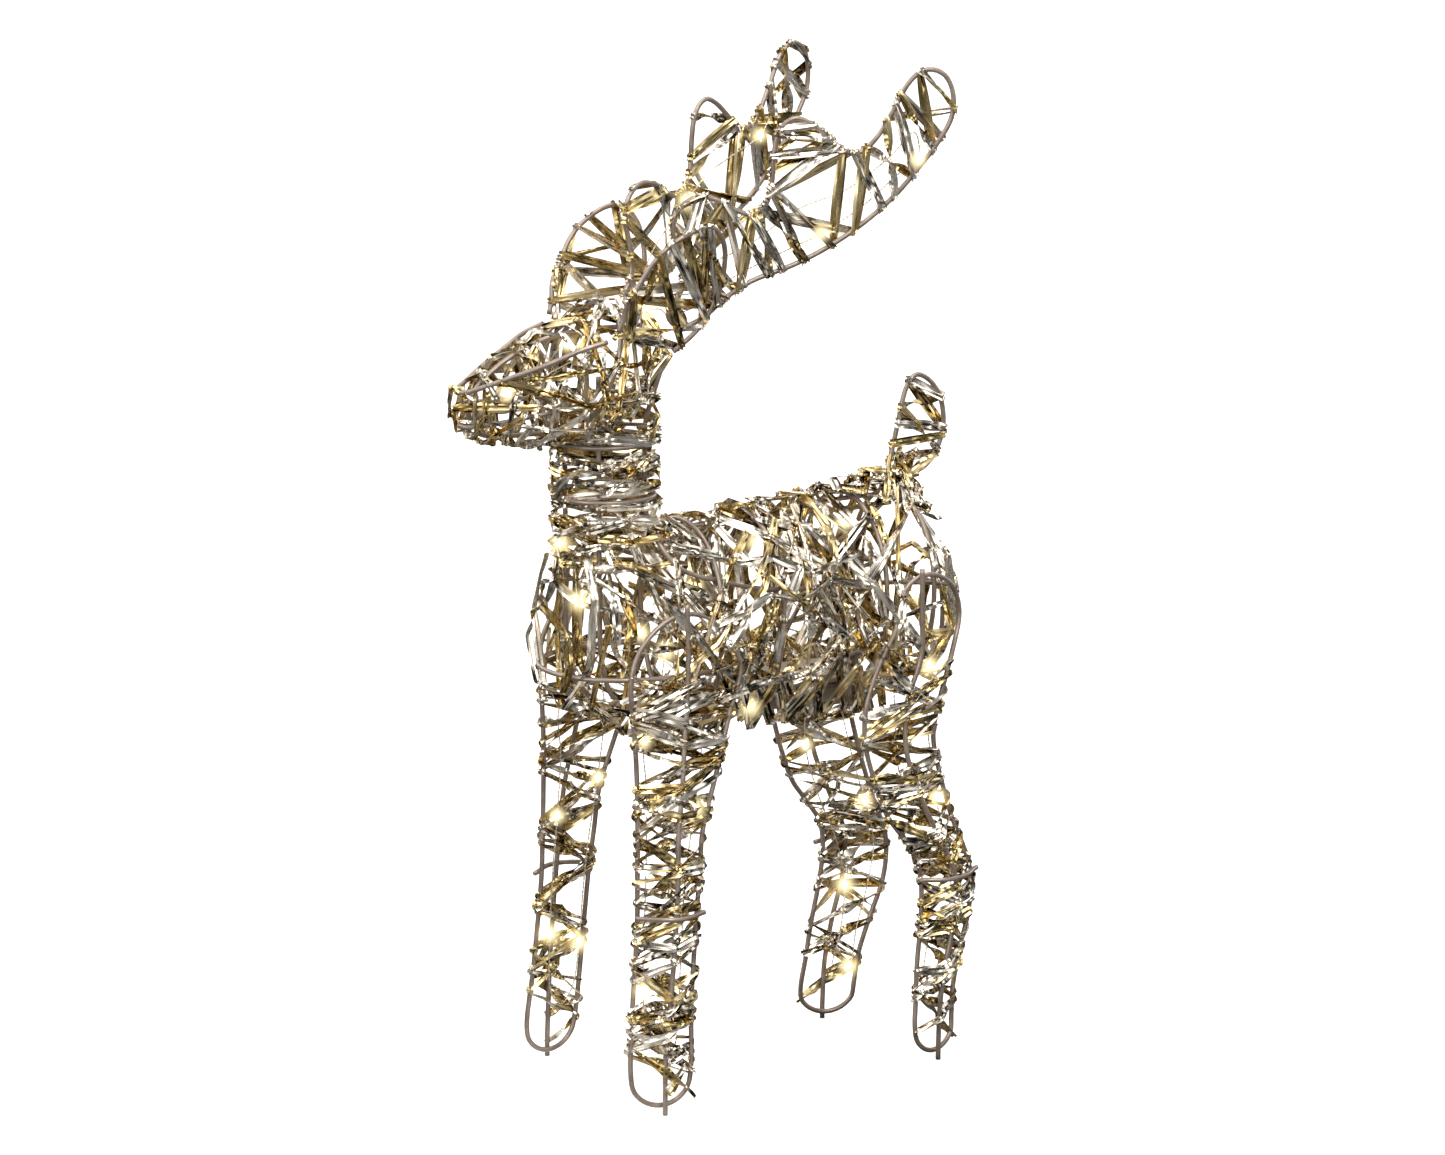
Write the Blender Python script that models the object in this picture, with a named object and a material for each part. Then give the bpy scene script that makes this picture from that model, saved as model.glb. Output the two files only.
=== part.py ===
"""Light up yard reindeer: a standing deer of bent round steel wire, wrapped in metallised tape, with
an LED string and a battery case on the belly rails.

Frame: metres, +Z up, the deer faces -Y and its left side is +X. The origin is on the ground, under
the middle of the overall box. All sizes below are in millimetres, with y counted from the middle
between the feet; frame_m() turns them into the frame.
"""

import math
from collections import namedtuple

import bpy
import numpy as np

for old in list(bpy.data.objects):
    bpy.data.objects.remove(old, do_unlink=True)

# ---------------------------------------------------------------- shared dimensions, mm
MM = 0.001
BOX_MID_Y = -24.64  # middle of the overall length, counted from the middle between the feet
SIDES = (("left", 1), ("right", -1))  # name, sign of x

WIRE_D = 3.0  # round wire of the frame
CLEAR = 0.35  # gap left between neighbouring pieces
STEP_OVER = WIRE_D + CLEAR  # centre distance of two wires that lie on each other
WIRE_TOL = 0.55  # how far a bend's straight pieces may stray from the curve


def frame_m(point):
    """A point in millimetres, as metres from the origin."""
    x, y, z = (float(v) for v in point)
    return (x * MM, (y - BOX_MID_Y) * MM, z * MM)


def on_side(points, side):
    """Points given for the left side (+1), or their mirror image on the right (-1)."""
    return np.asarray(points, float) * [side, 1, 1]


def clamp_share(value):
    return np.clip(value, 0.0, 1.0)


def circle_angles(sides):
    return np.linspace(0, 2 * math.pi, sides, endpoint=False)


# ---------------------------------------------------------------- curves
def table_at(rows, z):
    """Value of each column at z, from rows of (z, a, b, ...), smooth between rows."""
    rows = np.asarray(rows, float)
    levels = rows[:, 0]
    z = min(max(z, levels[0]), levels[-1])
    i = int(min(max(np.searchsorted(levels, z) - 1, 0), len(levels) - 2))
    height = levels[i + 1] - levels[i]
    t = (z - levels[i]) / height

    def rise(k):
        """Slope at row k, scaled to the height of this interval."""
        low, high = max(k - 1, 0), min(k + 1, len(levels) - 1)
        return (rows[high, 1:] - rows[low, 1:]) / (levels[high] - levels[low]) * height

    return (
        (2 * t**3 - 3 * t**2 + 1) * rows[i, 1:]
        + (t**3 - 2 * t**2 + t) * rise(i)
        + (3 * t**2 - 2 * t**3) * rows[i + 1, 1:]
        + (t**3 - t**2) * rise(i + 1)
    )


def smooth(points, closed=False, per=12):
    """Centripetal Catmull-Rom curve through the points, with per steps between neighbours."""
    points = np.asarray(points, float)
    count = len(points)
    if closed:
        padded = np.vstack([points[-1:], points, points[:2]])
    else:
        before = 2 * points[0] - points[1]
        after = 2 * points[-1] - points[-2]
        padded = np.vstack([before, points, after])
    curve = []
    for i in range(count if closed else count - 1):
        four = padded[i : i + 4]
        knots = [0.0]
        for start, end in zip(four, four[1:]):
            knots.append(knots[-1] + max(np.linalg.norm(end - start), 1e-6) ** 0.5)

        def blend(start, end, i_start, i_end, u):
            """Straight blend of two points that belong to two of the knots."""
            k0, k1 = knots[i_start], knots[i_end]
            return (k1 - u) / (k1 - k0) * start + (u - k0) / (k1 - k0) * end

        for u in np.linspace(knots[1], knots[2], per, endpoint=False):
            first, middle, last = (blend(four[k], four[k + 1], k, k + 1, u) for k in range(3))
            curve.append(
                blend(blend(first, middle, 0, 2, u), blend(middle, last, 1, 3, u), 1, 2, u)
            )
    if not closed:
        curve.append(points[-1])
    return np.array(curve)


def both_sides(half):
    """Curve from the left, through the middle point (the last of half), and out on the right."""
    return smooth(list(half) + [(-x, y, z) for x, y, z in half[-2::-1]])


def thinned(path, tol):
    """The points that keep the polyline within tol of the path (Douglas-Peucker)."""
    keep = np.zeros(len(path), bool)
    keep[[0, -1]] = True
    spans = [(0, len(path) - 1)]
    while spans:
        start, end = spans.pop()
        if end - start < 2:
            continue
        chord = path[end] - path[start]
        length = np.linalg.norm(chord)
        offset = path[start + 1 : end] - path[start]
        if length > 1e-9:
            offset = offset - np.outer(offset @ chord / length**2, chord)
        distance = np.linalg.norm(offset, axis=1)
        farthest = int(distance.argmax())
        if distance[farthest] > tol:
            split = start + 1 + farthest
            keep[split] = True
            spans += [(start, split), (split, end)]
    return path[keep]


def thinned_loop(path, tol):
    half = len(path) // 2
    first = thinned(path[: half + 1], tol)
    second = thinned(np.vstack([path[half:], path[:1]]), tol)
    return np.vstack([first, second[1:-1]])


def arc_lengths(path):
    """Distance along the path to each of its points."""
    return np.r_[0, np.cumsum(np.linalg.norm(np.diff(path, axis=0), axis=1))]


def point_at(path, lengths, s):
    return np.array([np.interp(s, lengths, path[:, i]) for i in range(3)])


def chord_at(path, lengths, s, reach=2):
    """Vector from the point reach before s to the point reach after it, within the path."""
    ahead = point_at(path, lengths, min(s + reach, lengths[-1]))
    return ahead - point_at(path, lengths, max(s - reach, 0))


# ---------------------------------------------------------------- legs
FRONT_FOOT_X, FRONT_FOOT_Y = 67.0, -95.0
REAR_FOOT_X, REAR_FOOT_Y = 52.0, 96.2
STANCE = 6.5  # rear feet: left one this far back, right one this far forward
HOOF_LIFT = 5.0  # hoof bend centreline above the ground; only the spine rods touch it
BOW = 7.6  # how far a leg's spine rod bows out at the knee
TOE_SLOPE = 0.176  # x gained per mm of y, in the lower part of a front leg

# Height, front rod, rear rod; the rods are measured along y from the middle of the hoof.
FRONT_RODS = (
    (24, -17.8, 18.6), (60, -14.8, 21.0), (90, -12, 23.5), (117, -10, 26), (140, -9.5, 29),
    (163, -9, 31.5), (199, -9, 43), (230, -10.5, 53), (255, -11.5, 61.5),
)
REAR_RODS = (
    (22, -16, 16), (40, -14, 18), (60, -12, 23.5), (85, -8, 32), (100, -6.5, 34),
    (112, -6.5, 33.5), (126, -9.5, 29), (141, -20, 22.5), (154, -29.5, 18), (176, -38, 11.5),
    (198, -44, 7), (213, -45, 9), (225, -43, 12), (249, -33, 20),
)
# Top of a leg loop, front to back: (y from the middle of the hoof, z).
FRONT_ARCH = ((-6, 271), (5, 283), (19, 290), (35, 289.5), (48, 281), (58, 267.5))
REAR_ARCH = (
    (-25, 262), (-20.5, 272), (-19, 284), (-13, 292.5), (0, 296.5), (13, 292), (23, 281), (27, 268),
)
# Rear leg: height, shift of the leg in x, x gained per mm of y.
REAR_SET = ((0, 0, -0.33), (110, -5.0, -0.21), (200, -1.5, -0.12), (250, 0.0, -0.04))


def front_place(along, z, out=0.0):
    """Point of the left front leg: along y from the hoof, out to the leg's outer side."""
    toe = TOE_SLOPE * clamp_share((235 - z) / 110)
    tuck = 2.0 * toe / TOE_SLOPE if z > 30 else 0
    x = FRONT_FOOT_X - 13.1 * z / 254 + along * toe - tuck
    return np.array([x + out, FRONT_FOOT_Y + along, z])


def rear_place(along, z, out=0.0):
    """Point of the left rear leg, before stance(); arguments as for front_place."""
    shift, turn = table_at(REAR_SET, z)
    middle = table_at(REAR_RODS, z).mean()
    y = REAR_FOOT_Y + along
    x = REAR_FOOT_X + shift + (along - middle) * turn
    # The top of the leg curves in towards the rump.
    x -= 0.017 * max(0.0, y - 103) ** 2 * clamp_share((z - 215) / 30)
    return np.array([x + out, y, z])


Leg = namedtuple(
    "Leg",
    "rods arch place foot_y hoof_r brace_name brace_z bow_top spine_top tape_z stance",
)
LEGS = {
    "front": Leg(
        rods=FRONT_RODS, arch=FRONT_ARCH, place=front_place, foot_y=FRONT_FOOT_Y,
        hoof_r=18.6, brace_name="knee_brace", brace_z=117.0,
        bow_top=235, spine_top=297, tape_z=(38, 191), stance=0.0,
    ),
    "rear": Leg(
        rods=REAR_RODS, arch=REAR_ARCH, place=rear_place, foot_y=REAR_FOOT_Y,
        hoof_r=17.2, brace_name="hock_brace", brace_z=112.0,
        bow_top=225, spine_top=301, tape_z=(36, 190), stance=STANCE,
    ),
}


def stance_share(z):
    """Share of a leg's stance at a height: all of it at the hoof, none at the hip."""
    return clamp_share(1 - (z - 8) / 182)


def stance(points, amount):
    """Swings a leg about the hip, so that its hoof moves by amount along Y."""
    points = np.array(points, float)
    points[:, 1] += amount * stance_share(points[:, 2])
    return points


def spine_bow(leg, z):
    return BOW * math.sin(math.pi * min(z / leg.bow_top, 1.0))


def leg_loop(leg):
    """Up the front rod, over the arch, down the rear rod and round the hoof."""
    path = [leg.place(front, z) for z, front, _ in leg.rods]
    path += [leg.place(along, z) for along, z in leg.arch]
    path += [leg.place(rear, z) for z, _, rear in leg.rods[::-1]]
    for angle in np.radians([60, 30, 0, -30, -60]):
        drop = leg.hoof_r * (1 - math.cos(angle))
        path.append(leg.place(leg.hoof_r * math.sin(angle), HOOF_LIFT + drop))
    return smooth(path, closed=True)


def leg_spine(leg):
    """Rod on the outer side of the leg loop, midway between its two rods."""
    path = []
    for z in np.linspace(8, leg.spine_top, 12):
        out = STEP_OVER + 0.05 + spine_bow(leg, z)
        path.append(leg.place(table_at(leg.rods, z).mean(), z, out))
    # The end that stands on the ground is upright and cut square.
    return np.vstack([path[0] * [1, 1, 0], thinned(smooth(path), WIRE_TOL)])


def leg_brace(leg):
    """Short bow across the leg, from rod to rod and out towards the spine rod."""
    z = leg.brace_z
    front, rear = table_at(leg.rods, z)
    depth = spine_bow(leg, z) + STEP_OVER
    path = []
    for t in np.linspace(-0.08, 1.08, 9):
        lift = math.sin(math.pi * min(max(t, 0), 1)) ** 0.8
        out = STEP_OVER + 0.1 + (depth - 0.3) * lift
        path.append(leg.place(front + (rear - front) * t, z, out))
    return smooth(path)


# ---------------------------------------------------------------- barrel and neck
BODY_MID_Z = 286.0  # level of the widest line of the barrel
SPINE_Z = 331.0  # topline wire
CHEST_RING_Z = 254.0
NECK_Y, NECK_RING_R = -93.0, 28.8
NECK_RING_Z = {"lower": 355, "upper": 387}
NECK_ROD_X = 20.0
NECK_ROD_Y = 15.0  # neck rods in front of and behind the middle of the neck
NECK_FRONT_Y = NECK_Y - NECK_ROD_Y
NECK_REAR_Y = NECK_Y + NECK_ROD_Y

HOOPS = {  # y, half width, top, bottom
    "body_hoop_front": (-42.0, 48.0, 335.0, 208.0),
    "body_hoop_middle": (0.0, 47.0, 335.5, 214.0),
    "body_hoop_rear": (70.0, 48.0, 340.0, 218.0),
    "rump_hoop": (104.0, 46.0, 338.0, 224.0),
}
# Base of the neck, back along the top and down the rump: (y, z).
TOPLINE = (
    (-60.5, 345.5), (-56.5, 337), (-46, SPINE_Z + 0.5), (-16, SPINE_Z), (30, SPINE_Z + 2),
    (70, SPINE_Z + 5.3), (104, SPINE_Z + 3.2), (120, 324), (131, 304), (137.5, 280), (139.5, 262),
    (138, 246), (133, 237),
)
# Left rear neck rod from the top, then the flank line back to the rump: (x, y, z).
FLANK_RAIL = (
    (25.5, -69.5, 431), (23, -73.5, 416), (20.6, -77.2, 400), (NECK_ROD_X, NECK_REAR_Y, 387),
    (NECK_ROD_X, NECK_REAR_Y, 358), (20.6, -78, 349), (25.5, -77, 338), (33, -74, 327),
    (39, -68, 317), (40.6, -56, 310), (40.2, -42, 306), (41.5, -18, 299), (42.4, 0, 296),
    (44.0, 40, 295), (44.0, 70, 293), (42.1, 104, 289), (35, 124, 284), (20, 134.5, 279),
    (4.2, 138.5, 275),
)
# Left front neck rod from the top, down the chest, then the belly line back to the rump: (x, y, z).
BELLY_RAIL = (
    (NECK_ROD_X, NECK_FRONT_Y, 428), (NECK_ROD_X, NECK_FRONT_Y, 340), (20, -108, 290),
    (20.5, -107, 262), (21, -101, 241), (22, -86, 227.5), (23, -62, 222.6), (23.5, -42, 222.5),
    (23.5, 0, 228.4), (23.5, 35, 229.2), (23.5, 70, 231), (23, 104, 237), (17, 120, 239.5),
    (4.6, 131, 242),
)
# Left half of the chest ring, back to front: (x, y).
CHEST_HALF = (
    (46.5, -45.0), (49.5, -60), (49.3, -77), (46, -97), (40, -109), (30, -120.5), (16, -128),
    (0, -130.5),
)


def body_hoop(y, half_width, top, bottom):
    """Egg-shaped ring, widest at BODY_MID_Z."""
    path = []
    for angle in circle_angles(24):
        reach = top - BODY_MID_Z if math.cos(angle) > 0 else BODY_MID_Z - bottom
        path.append((half_width * math.sin(angle), y, BODY_MID_Z + reach * math.cos(angle)))
    return np.array(path)


def neck_point(angle, radius, z):
    """Point round the neck's axis, starting at the front."""
    return (radius * math.sin(angle), NECK_Y - radius * math.cos(angle), z)


def neck_ring(z):
    return np.array([neck_point(angle, NECK_RING_R, z) for angle in circle_angles(18)])


# ---------------------------------------------------------------- head, antlers and tail
# Left halves, ending on the middle line: (x, y, z).
MUZZLE_HALF = (
    (38.0, -112, 451), (34.5, -127, 447), (28.5, -144, 440), (20.5, -161, 433.5), (12, -176, 427.5),
    (6.5, -185.5, 424), (0, -188.5, 423),
)
JAW_HALF = (
    (26, -102, 394.5), (25.3, -111, 404), (25.2, -121, 410.5), (23.5, -137, 410.5),
    (18.5, -153, 408.5), (12.5, -168, 405.5), (6.5, -182, 403.5), (0, -187, 403.5),
)
SKULL_HALF = ((27, -71, 440), (19, -68.5, 447), (0, -67, 451.5))
# Forward along the top of the head, down the nose and back underneath: (y, z).
BRIDGE = (
    (-74, 450.5), (-84, 452), (-107, 452), (-127, 450), (-141, 446), (-158, 438.5), (-169, 431),
    (-177.5, 423), (-181.5, 412), (-179.5, 401.5), (-172, 397), (-160, 395), (-146, 395),
    (-130, 394),
)
# Left ear: (x, y, z).
EAR = (
    (40.6, -106.5, 455.5), (42, -104, 464), (44.5, -102, 474), (47, -96, 484), (50, -86, 499),
    (52, -74, 508), (53, -61, 513.5), (52.6, -50.5, 513.5), (50, -42.5, 504), (46.5, -40, 490),
    (42.5, -42.5, 472), (39, -53, 454), (36.5, -68, 441.5),
)
ANTLER_X0, ANTLER_SPLAY = 49.0, 0.338  # an antler lies in the plane x = X0 + SPLAY * y
# Outline of the left antler, (y, z): three rounded tines, rising to the back.
ANTLER = (
    (-66, 461), (-59, 474), (-57.5, 486), (-60, 497), (-63, 508), (-62, 518), (-56, 526),
    (-47, 529), (-38, 526.5), (-29, 521), (-19, 518), (-12, 523), (-8.5, 534), (-7.5, 547),
    (-5.5, 561), (-1.5, 569), (5, 572.5), (12, 570), (22, 562), (32, 552.5), (41, 552), (50, 560),
    (59, 575), (67, 590), (73, 596.3), (80, 598.6), (88, 595), (92.5, 585), (92, 571), (84, 556),
    (72, 540), (60, 526), (41, 509.5), (22, 497), (4, 488), (-20, 479), (-34, 470), (-48, 458),
    (-60, 454),
)
# Outline of the tail: (y, z).
TAIL = (
    (99.5, 350), (103, 362), (108, 382), (112, 397), (116, 404), (121, 406), (130, 401), (137, 390),
    (139, 374), (134, 359), (124, 349.5), (112, 343.8), (103, 343),
)


def middle_plane(rows):
    return [(0, y, z) for y, z in rows]


def antler_plane(rows):
    return [(ANTLER_X0 + ANTLER_SPLAY * y, y, z) for y, z in rows]


def head_hoop():
    """Ellipse round the head, its top leaning back."""
    path = []
    for angle in circle_angles(20):
        rise = math.cos(angle)
        path.append((36.5 * math.sin(angle), -108 + 16 * rise, 429.5 + 37.5 * rise))
    return np.array(path)


# ---------------------------------------------------------------- all wires
# thin: whether the points are thinned to WIRE_TOL when the wire is built.
Wire = namedtuple("Wire", "points closed thin", defaults=(False, True))


def side_wires(side_name, side):
    found = {}
    for leg_name, leg in LEGS.items():
        parts = {
            "leg_loop": Wire(leg_loop(leg), closed=True),
            "leg_spine": Wire(leg_spine(leg), thin=False),
            leg.brace_name: Wire(leg_brace(leg)),
        }
        for part, wire in parts.items():
            points = stance(on_side(wire.points, side), side * leg.stance)
            found[f"{leg_name}_{side_name}_{part}"] = wire._replace(points=points)
    found[f"flank_rail_{side_name}"] = Wire(on_side(smooth(FLANK_RAIL), side))
    found[f"belly_rail_{side_name}"] = Wire(on_side(smooth(BELLY_RAIL), side))
    found[f"ear_wire_{side_name}"] = Wire(on_side(smooth(EAR), side))
    antler = smooth(antler_plane(ANTLER), closed=True, per=6)
    found[f"antler_wire_{side_name}"] = Wire(on_side(antler, side), closed=True)
    return found


def all_wires():
    """Every wire of the frame, by name."""
    found = {}
    for side_name, side in SIDES:
        found.update(side_wires(side_name, side))
    found["topline_wire"] = Wire(smooth(middle_plane(TOPLINE)))
    found["chest_ring"] = Wire(both_sides([(x, y, CHEST_RING_Z) for x, y in CHEST_HALF]))
    for name, sizes in HOOPS.items():
        found[name] = Wire(body_hoop(*sizes), closed=True, thin=False)
    for level, z in NECK_RING_Z.items():
        found[f"neck_ring_{level}"] = Wire(neck_ring(z), closed=True, thin=False)
    found["head_hoop"] = Wire(head_hoop(), closed=True, thin=False)
    found["muzzle_wire"] = Wire(both_sides(MUZZLE_HALF))
    found["jaw_wire"] = Wire(both_sides(JAW_HALF))
    found["nose_bridge_wire"] = Wire(smooth(middle_plane(BRIDGE)))
    found["skull_arch"] = Wire(both_sides(SKULL_HALF))
    found["tail_wire"] = Wire(smooth(middle_plane(TAIL), closed=True), closed=True)
    return found


# ---------------------------------------------------------------- materials
def make_material(name, colour, metallic, roughness):
    mat = bpy.data.materials.new(name)
    mat.use_nodes = True
    bsdf = mat.node_tree.nodes["Principled BSDF"]
    bsdf.inputs["Base Color"].default_value = (*colour, 1)
    bsdf.inputs["Metallic"].default_value = metallic
    bsdf.inputs["Roughness"].default_value = roughness
    mat.diffuse_color = (*colour, 1)
    return mat


STEEL = make_material(
    "painted_steel_wire", colour=(0.37, 0.31, 0.27), metallic=0.75, roughness=0.35)
TAPE = make_material("metallised_tape", colour=(0.62, 0.56, 0.45), metallic=1.0, roughness=0.22)
LED = make_material("led_string_clear", colour=(0.95, 0.85, 0.62), metallic=0.0, roughness=0.15)
PLASTIC = make_material("case_plastic", colour=(0.48, 0.43, 0.36), metallic=0.0, roughness=0.45)
JACKET = make_material("cell_jacket", colour=(0.16, 0.17, 0.18), metallic=0.2, roughness=0.35)
NICKEL = make_material("nickel_plate", colour=(0.72, 0.71, 0.69), metallic=1.0, roughness=0.25)
BOARD = make_material("circuit_board", colour=(0.05, 0.22, 0.10), metallic=0.0, roughness=0.5)
KNOB = make_material("switch_knob", colour=(0.05, 0.05, 0.05), metallic=0.0, roughness=0.4)


# ---------------------------------------------------------------- Blender objects
def put(name, data, mat):
    obj = bpy.data.objects.new(name, data)
    bpy.context.scene.collection.objects.link(obj)
    data.materials.append(mat)
    return obj


def rod(name, path, mat, radius, bevel_steps, closed=False, radius_factors=None):
    """Round bar along a path: a curve with a round bevel and filled ends."""
    if radius_factors is None:
        radius_factors = np.ones(len(path))
    data = bpy.data.curves.new(name, "CURVE")
    data.dimensions = "3D"
    data.bevel_depth = radius * MM
    data.bevel_resolution = bevel_steps
    data.use_fill_caps = True
    data.resolution_u = 1
    spline = data.splines.new("POLY")
    spline.points.add(len(path) - 1)
    for point, place, factor in zip(spline.points, path, radius_factors):
        point.co = (*frame_m(place), 1)
        point.radius = float(factor)
    spline.use_cyclic_u = closed
    return put(name, data, mat)


def mesh_object(name, verts, faces, mat):
    data = bpy.data.meshes.new(name)
    data.from_pydata([frame_m(vert) for vert in verts], [], faces)
    data.update()
    return put(name, data, mat)


def box(name, x_span, y_span, z_span, mat):
    (x0, x1), (y0, y1) = x_span, y_span
    verts = [(x, y, z) for z in z_span for x, y in ((x0, y0), (x1, y0), (x1, y1), (x0, y1))]
    faces = [(3, 2, 1, 0), (4, 5, 6, 7), (0, 1, 5, 4), (1, 2, 6, 5), (2, 3, 7, 6), (3, 0, 4, 7)]
    return mesh_object(name, verts, faces, mat)


def bar_along_y(name, x, z, y_span, radius, mat, sides):
    """Round bar along Y, from the first y to the second, which may be the lower one."""
    forward = math.copysign(1, y_span[1] - y_span[0])
    verts = []
    for y in y_span:
        for angle in circle_angles(sides):
            across = radius * math.cos(angle) * forward
            verts.append((x + across, y, z - radius * math.sin(angle)))
    faces = []
    for i in range(sides):
        j = (i + 1) % sides
        faces.append((i, j, sides + j, sides + i))
    faces.append(tuple(range(sides))[::-1])
    faces.append(tuple(range(sides, 2 * sides)))
    return mesh_object(name, verts, faces, mat)


def boolean(target, tool, operation):
    modifier = target.modifiers.new(tool.name, "BOOLEAN")
    modifier.object = tool
    modifier.operation = operation
    tool.hide_render = True
    tool.display_type = "WIRE"


def pivot_at(obj, point):
    """Moves an object's origin to a point without moving its shape."""
    pivot = frame_m(point)
    for vert in obj.data.vertices:
        vert.co = [v - p for v, p in zip(vert.co, pivot)]
    obj.location = pivot


def build_wires(wires):
    for name, wire in wires.items():
        path = wire.points
        if wire.thin:
            path = (thinned_loop if wire.closed else thinned)(path, WIRE_TOL)
        rod(name, path, STEEL, radius=WIRE_D / 2, bevel_steps=1, closed=wire.closed)


# ---------------------------------------------------------------- tape
TAPE_W, TAPE_T = 6.0, 0.5
LEG_TAPE_TURNS = 5
LEG_TAPE_LIFT = 7.4  # tape above the rod centres of a leg
FLAT_TAPE_LIFT = 2.4  # tape above the plane of an antler, ear or tail

# Left half of the chest tape's line, back to front: (x, y).
CHEST_TAPE_HALF = ((63, -46), (63, -80), (60, -104), (46, -126), (24, -137), (0, -140))
CHEST_TAPE_Z = 246  # lowest lane
# Middle lines of the flat wavy tapes.
ANTLER_TAPE = (  # (y, z)
    (-50, 468), (-38, 492), (-10, 503), (20, 522), (48, 534), (68, 556), (80, 584),
)
EAR_TAPE = ((38.5, -82, 450), (45, -74, 470), (50, -64, 492), (52.5, -57, 508))  # (x, y, z)
EAR_NORMAL = (0.97, 0.03, -0.23)
TAIL_TAPE = ((106, 350), (116, 368), (122, 384), (121, 399))  # (y, z)


def tape(name, path, normals):
    """Flat tape along a path, lying square to its normals."""
    path, normals = np.asarray(path, float), np.asarray(normals, float)
    tangents = np.gradient(path, axis=0)
    tangents /= np.linalg.norm(tangents, axis=1)[:, None]
    across = np.cross(normals, tangents)
    across /= np.linalg.norm(across, axis=1)[:, None]
    upward = np.cross(tangents, across)
    verts, faces = [], []
    for point, side, up in zip(path, across, upward):
        for s, t in ((-1, -1), (1, -1), (1, 1), (-1, 1)):
            verts.append(point + side * s * TAPE_W / 2 + up * t * TAPE_T / 2)
    last = 4 * (len(path) - 1)
    for start in range(0, last, 4):
        for j in range(4):
            a, b = start + j, start + (j + 1) % 4
            faces.append((a, b, b + 4, a + 4))
    faces.append((3, 2, 1, 0))
    faces.append((last, last + 1, last + 2, last + 3))
    return mesh_object(name, verts, faces, TAPE)


def wrap_ring(rods, grow):
    """Nine points, and their outward normals, of a band round three rods: three at each rod."""
    rods = np.asarray(rods, float)
    if np.cross(rods[1] - rods[0], rods[2] - rods[0]) < 0:
        rods = rods[[0, 2, 1]]

    def outward(edge):
        return np.array([edge[1], -edge[0]]) / np.linalg.norm(edge)

    points, normals = [], []
    for i in range(3):
        arriving = outward(rods[i] - rods[i - 1])
        leaving = outward(rods[(i + 1) % 3] - rods[i])
        corner = arriving + leaving
        corner /= np.linalg.norm(corner)
        for normal in (arriving, corner, leaving):
            points.append(rods[i] + grow * normal)
            normals.append(normal)
    return points, normals


def leg_tape(name, leg, side):
    """Helix of tape round the three rods of a leg."""
    per_turn = 9  # the points of wrap_ring
    bottom, top = leg.tape_z
    steps = LEG_TAPE_TURNS * per_turn
    path, normals = [], []
    for k in range(steps + 1):
        z = bottom + (top - bottom) * k / steps
        front, rear = table_at(leg.rods, z)
        out = STEP_OVER + spine_bow(leg, z)
        rods = [leg.place(front, z), leg.place(rear, z), leg.place((front + rear) / 2, z, out)]
        ring, ring_normals = wrap_ring([place[:2] for place in rods], LEG_TAPE_LIFT)
        path.append((*ring[k % per_turn], z))
        normals.append((*ring_normals[k % per_turn], 0))
    path = on_side(path, side)[::-1]
    normals = on_side(normals, side)[::-1]
    tape(name, stance(path, side * leg.stance), normals)


def serpentine(lane_count, half_length, pitch, steps):
    """Straight lanes joined by half circles: (along, across), from the first lane's low end."""
    points = []
    radius = pitch / 2
    for lane in range(lane_count):
        sign = 1 if lane % 2 == 0 else -1
        across = lane * pitch
        for t in np.linspace(-1, 1, steps):
            points.append((sign * half_length * t, across))
        if lane < lane_count - 1:
            for a in np.radians([45, 90, 135]):
                along = sign * (half_length + radius * math.sin(a))
                points.append((along, across + radius * (1 - math.cos(a))))
    return points


def saddle_point(s, half_width, height, mid_z):
    """Point and normal at arc length s from the top of a half ellipse, extended straight down."""
    angles = np.linspace(0, math.pi / 2, 91)
    quarter = np.stack([half_width * np.sin(angles), height * np.cos(angles)], 1)
    lengths = arc_lengths(quarter)
    angle = math.copysign(np.interp(abs(s), lengths, angles), s)
    x, z = half_width * math.sin(angle), height * math.cos(angle)
    normal = np.array([x / half_width**2, 0, z / height**2])
    drop = max(0.0, abs(s) - lengths[-1])
    return np.array([x, 0, mid_z + z - drop]), normal / np.linalg.norm(normal)


def body_tape():
    """Lanes over the back, from flank to flank."""
    path, normals = [], []
    for s, y in serpentine(lane_count=6, half_length=128, pitch=26.6, steps=10):
        point, normal = saddle_point(s, half_width=61.8, height=63.5, mid_z=281)
        path.append(point + [0, y - 43, 0])
        normals.append(normal)
    tape("tape_body", path, normals)


def chest_tape():
    """Lanes that run round the chest from flank to flank, outside the front legs' arches."""
    line = both_sides([(x, y, CHEST_TAPE_Z) for x, y in CHEST_TAPE_HALF])
    lengths = arc_lengths(line)
    half = lengths[-1] / 2
    path, normals = [], []
    for s, up in serpentine(lane_count=3, half_length=half - 10, pitch=22, steps=11):
        path.append(point_at(line, lengths, half + s) + [0, 0, up])
        dx, dy, _ = chord_at(line, lengths, half + s)
        normals.append((-dy, dx, 0))
    tape("tape_chest", path, normals)


def neck_tape():
    """Helix between and round the two neck rings."""
    turns, per_turn = 3, 12
    radius = NECK_RING_R + WIRE_D / 2 + 1.9
    path, normals = [], []
    for k in range(turns * per_turn + 1):
        angle = 2 * math.pi * k / per_turn
        path.append(neck_point(angle, radius, 344 + 34 * k / (turns * per_turn)))
        normals.append((math.sin(angle), -math.cos(angle), 0))
    tape("tape_neck", path, normals)


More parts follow.
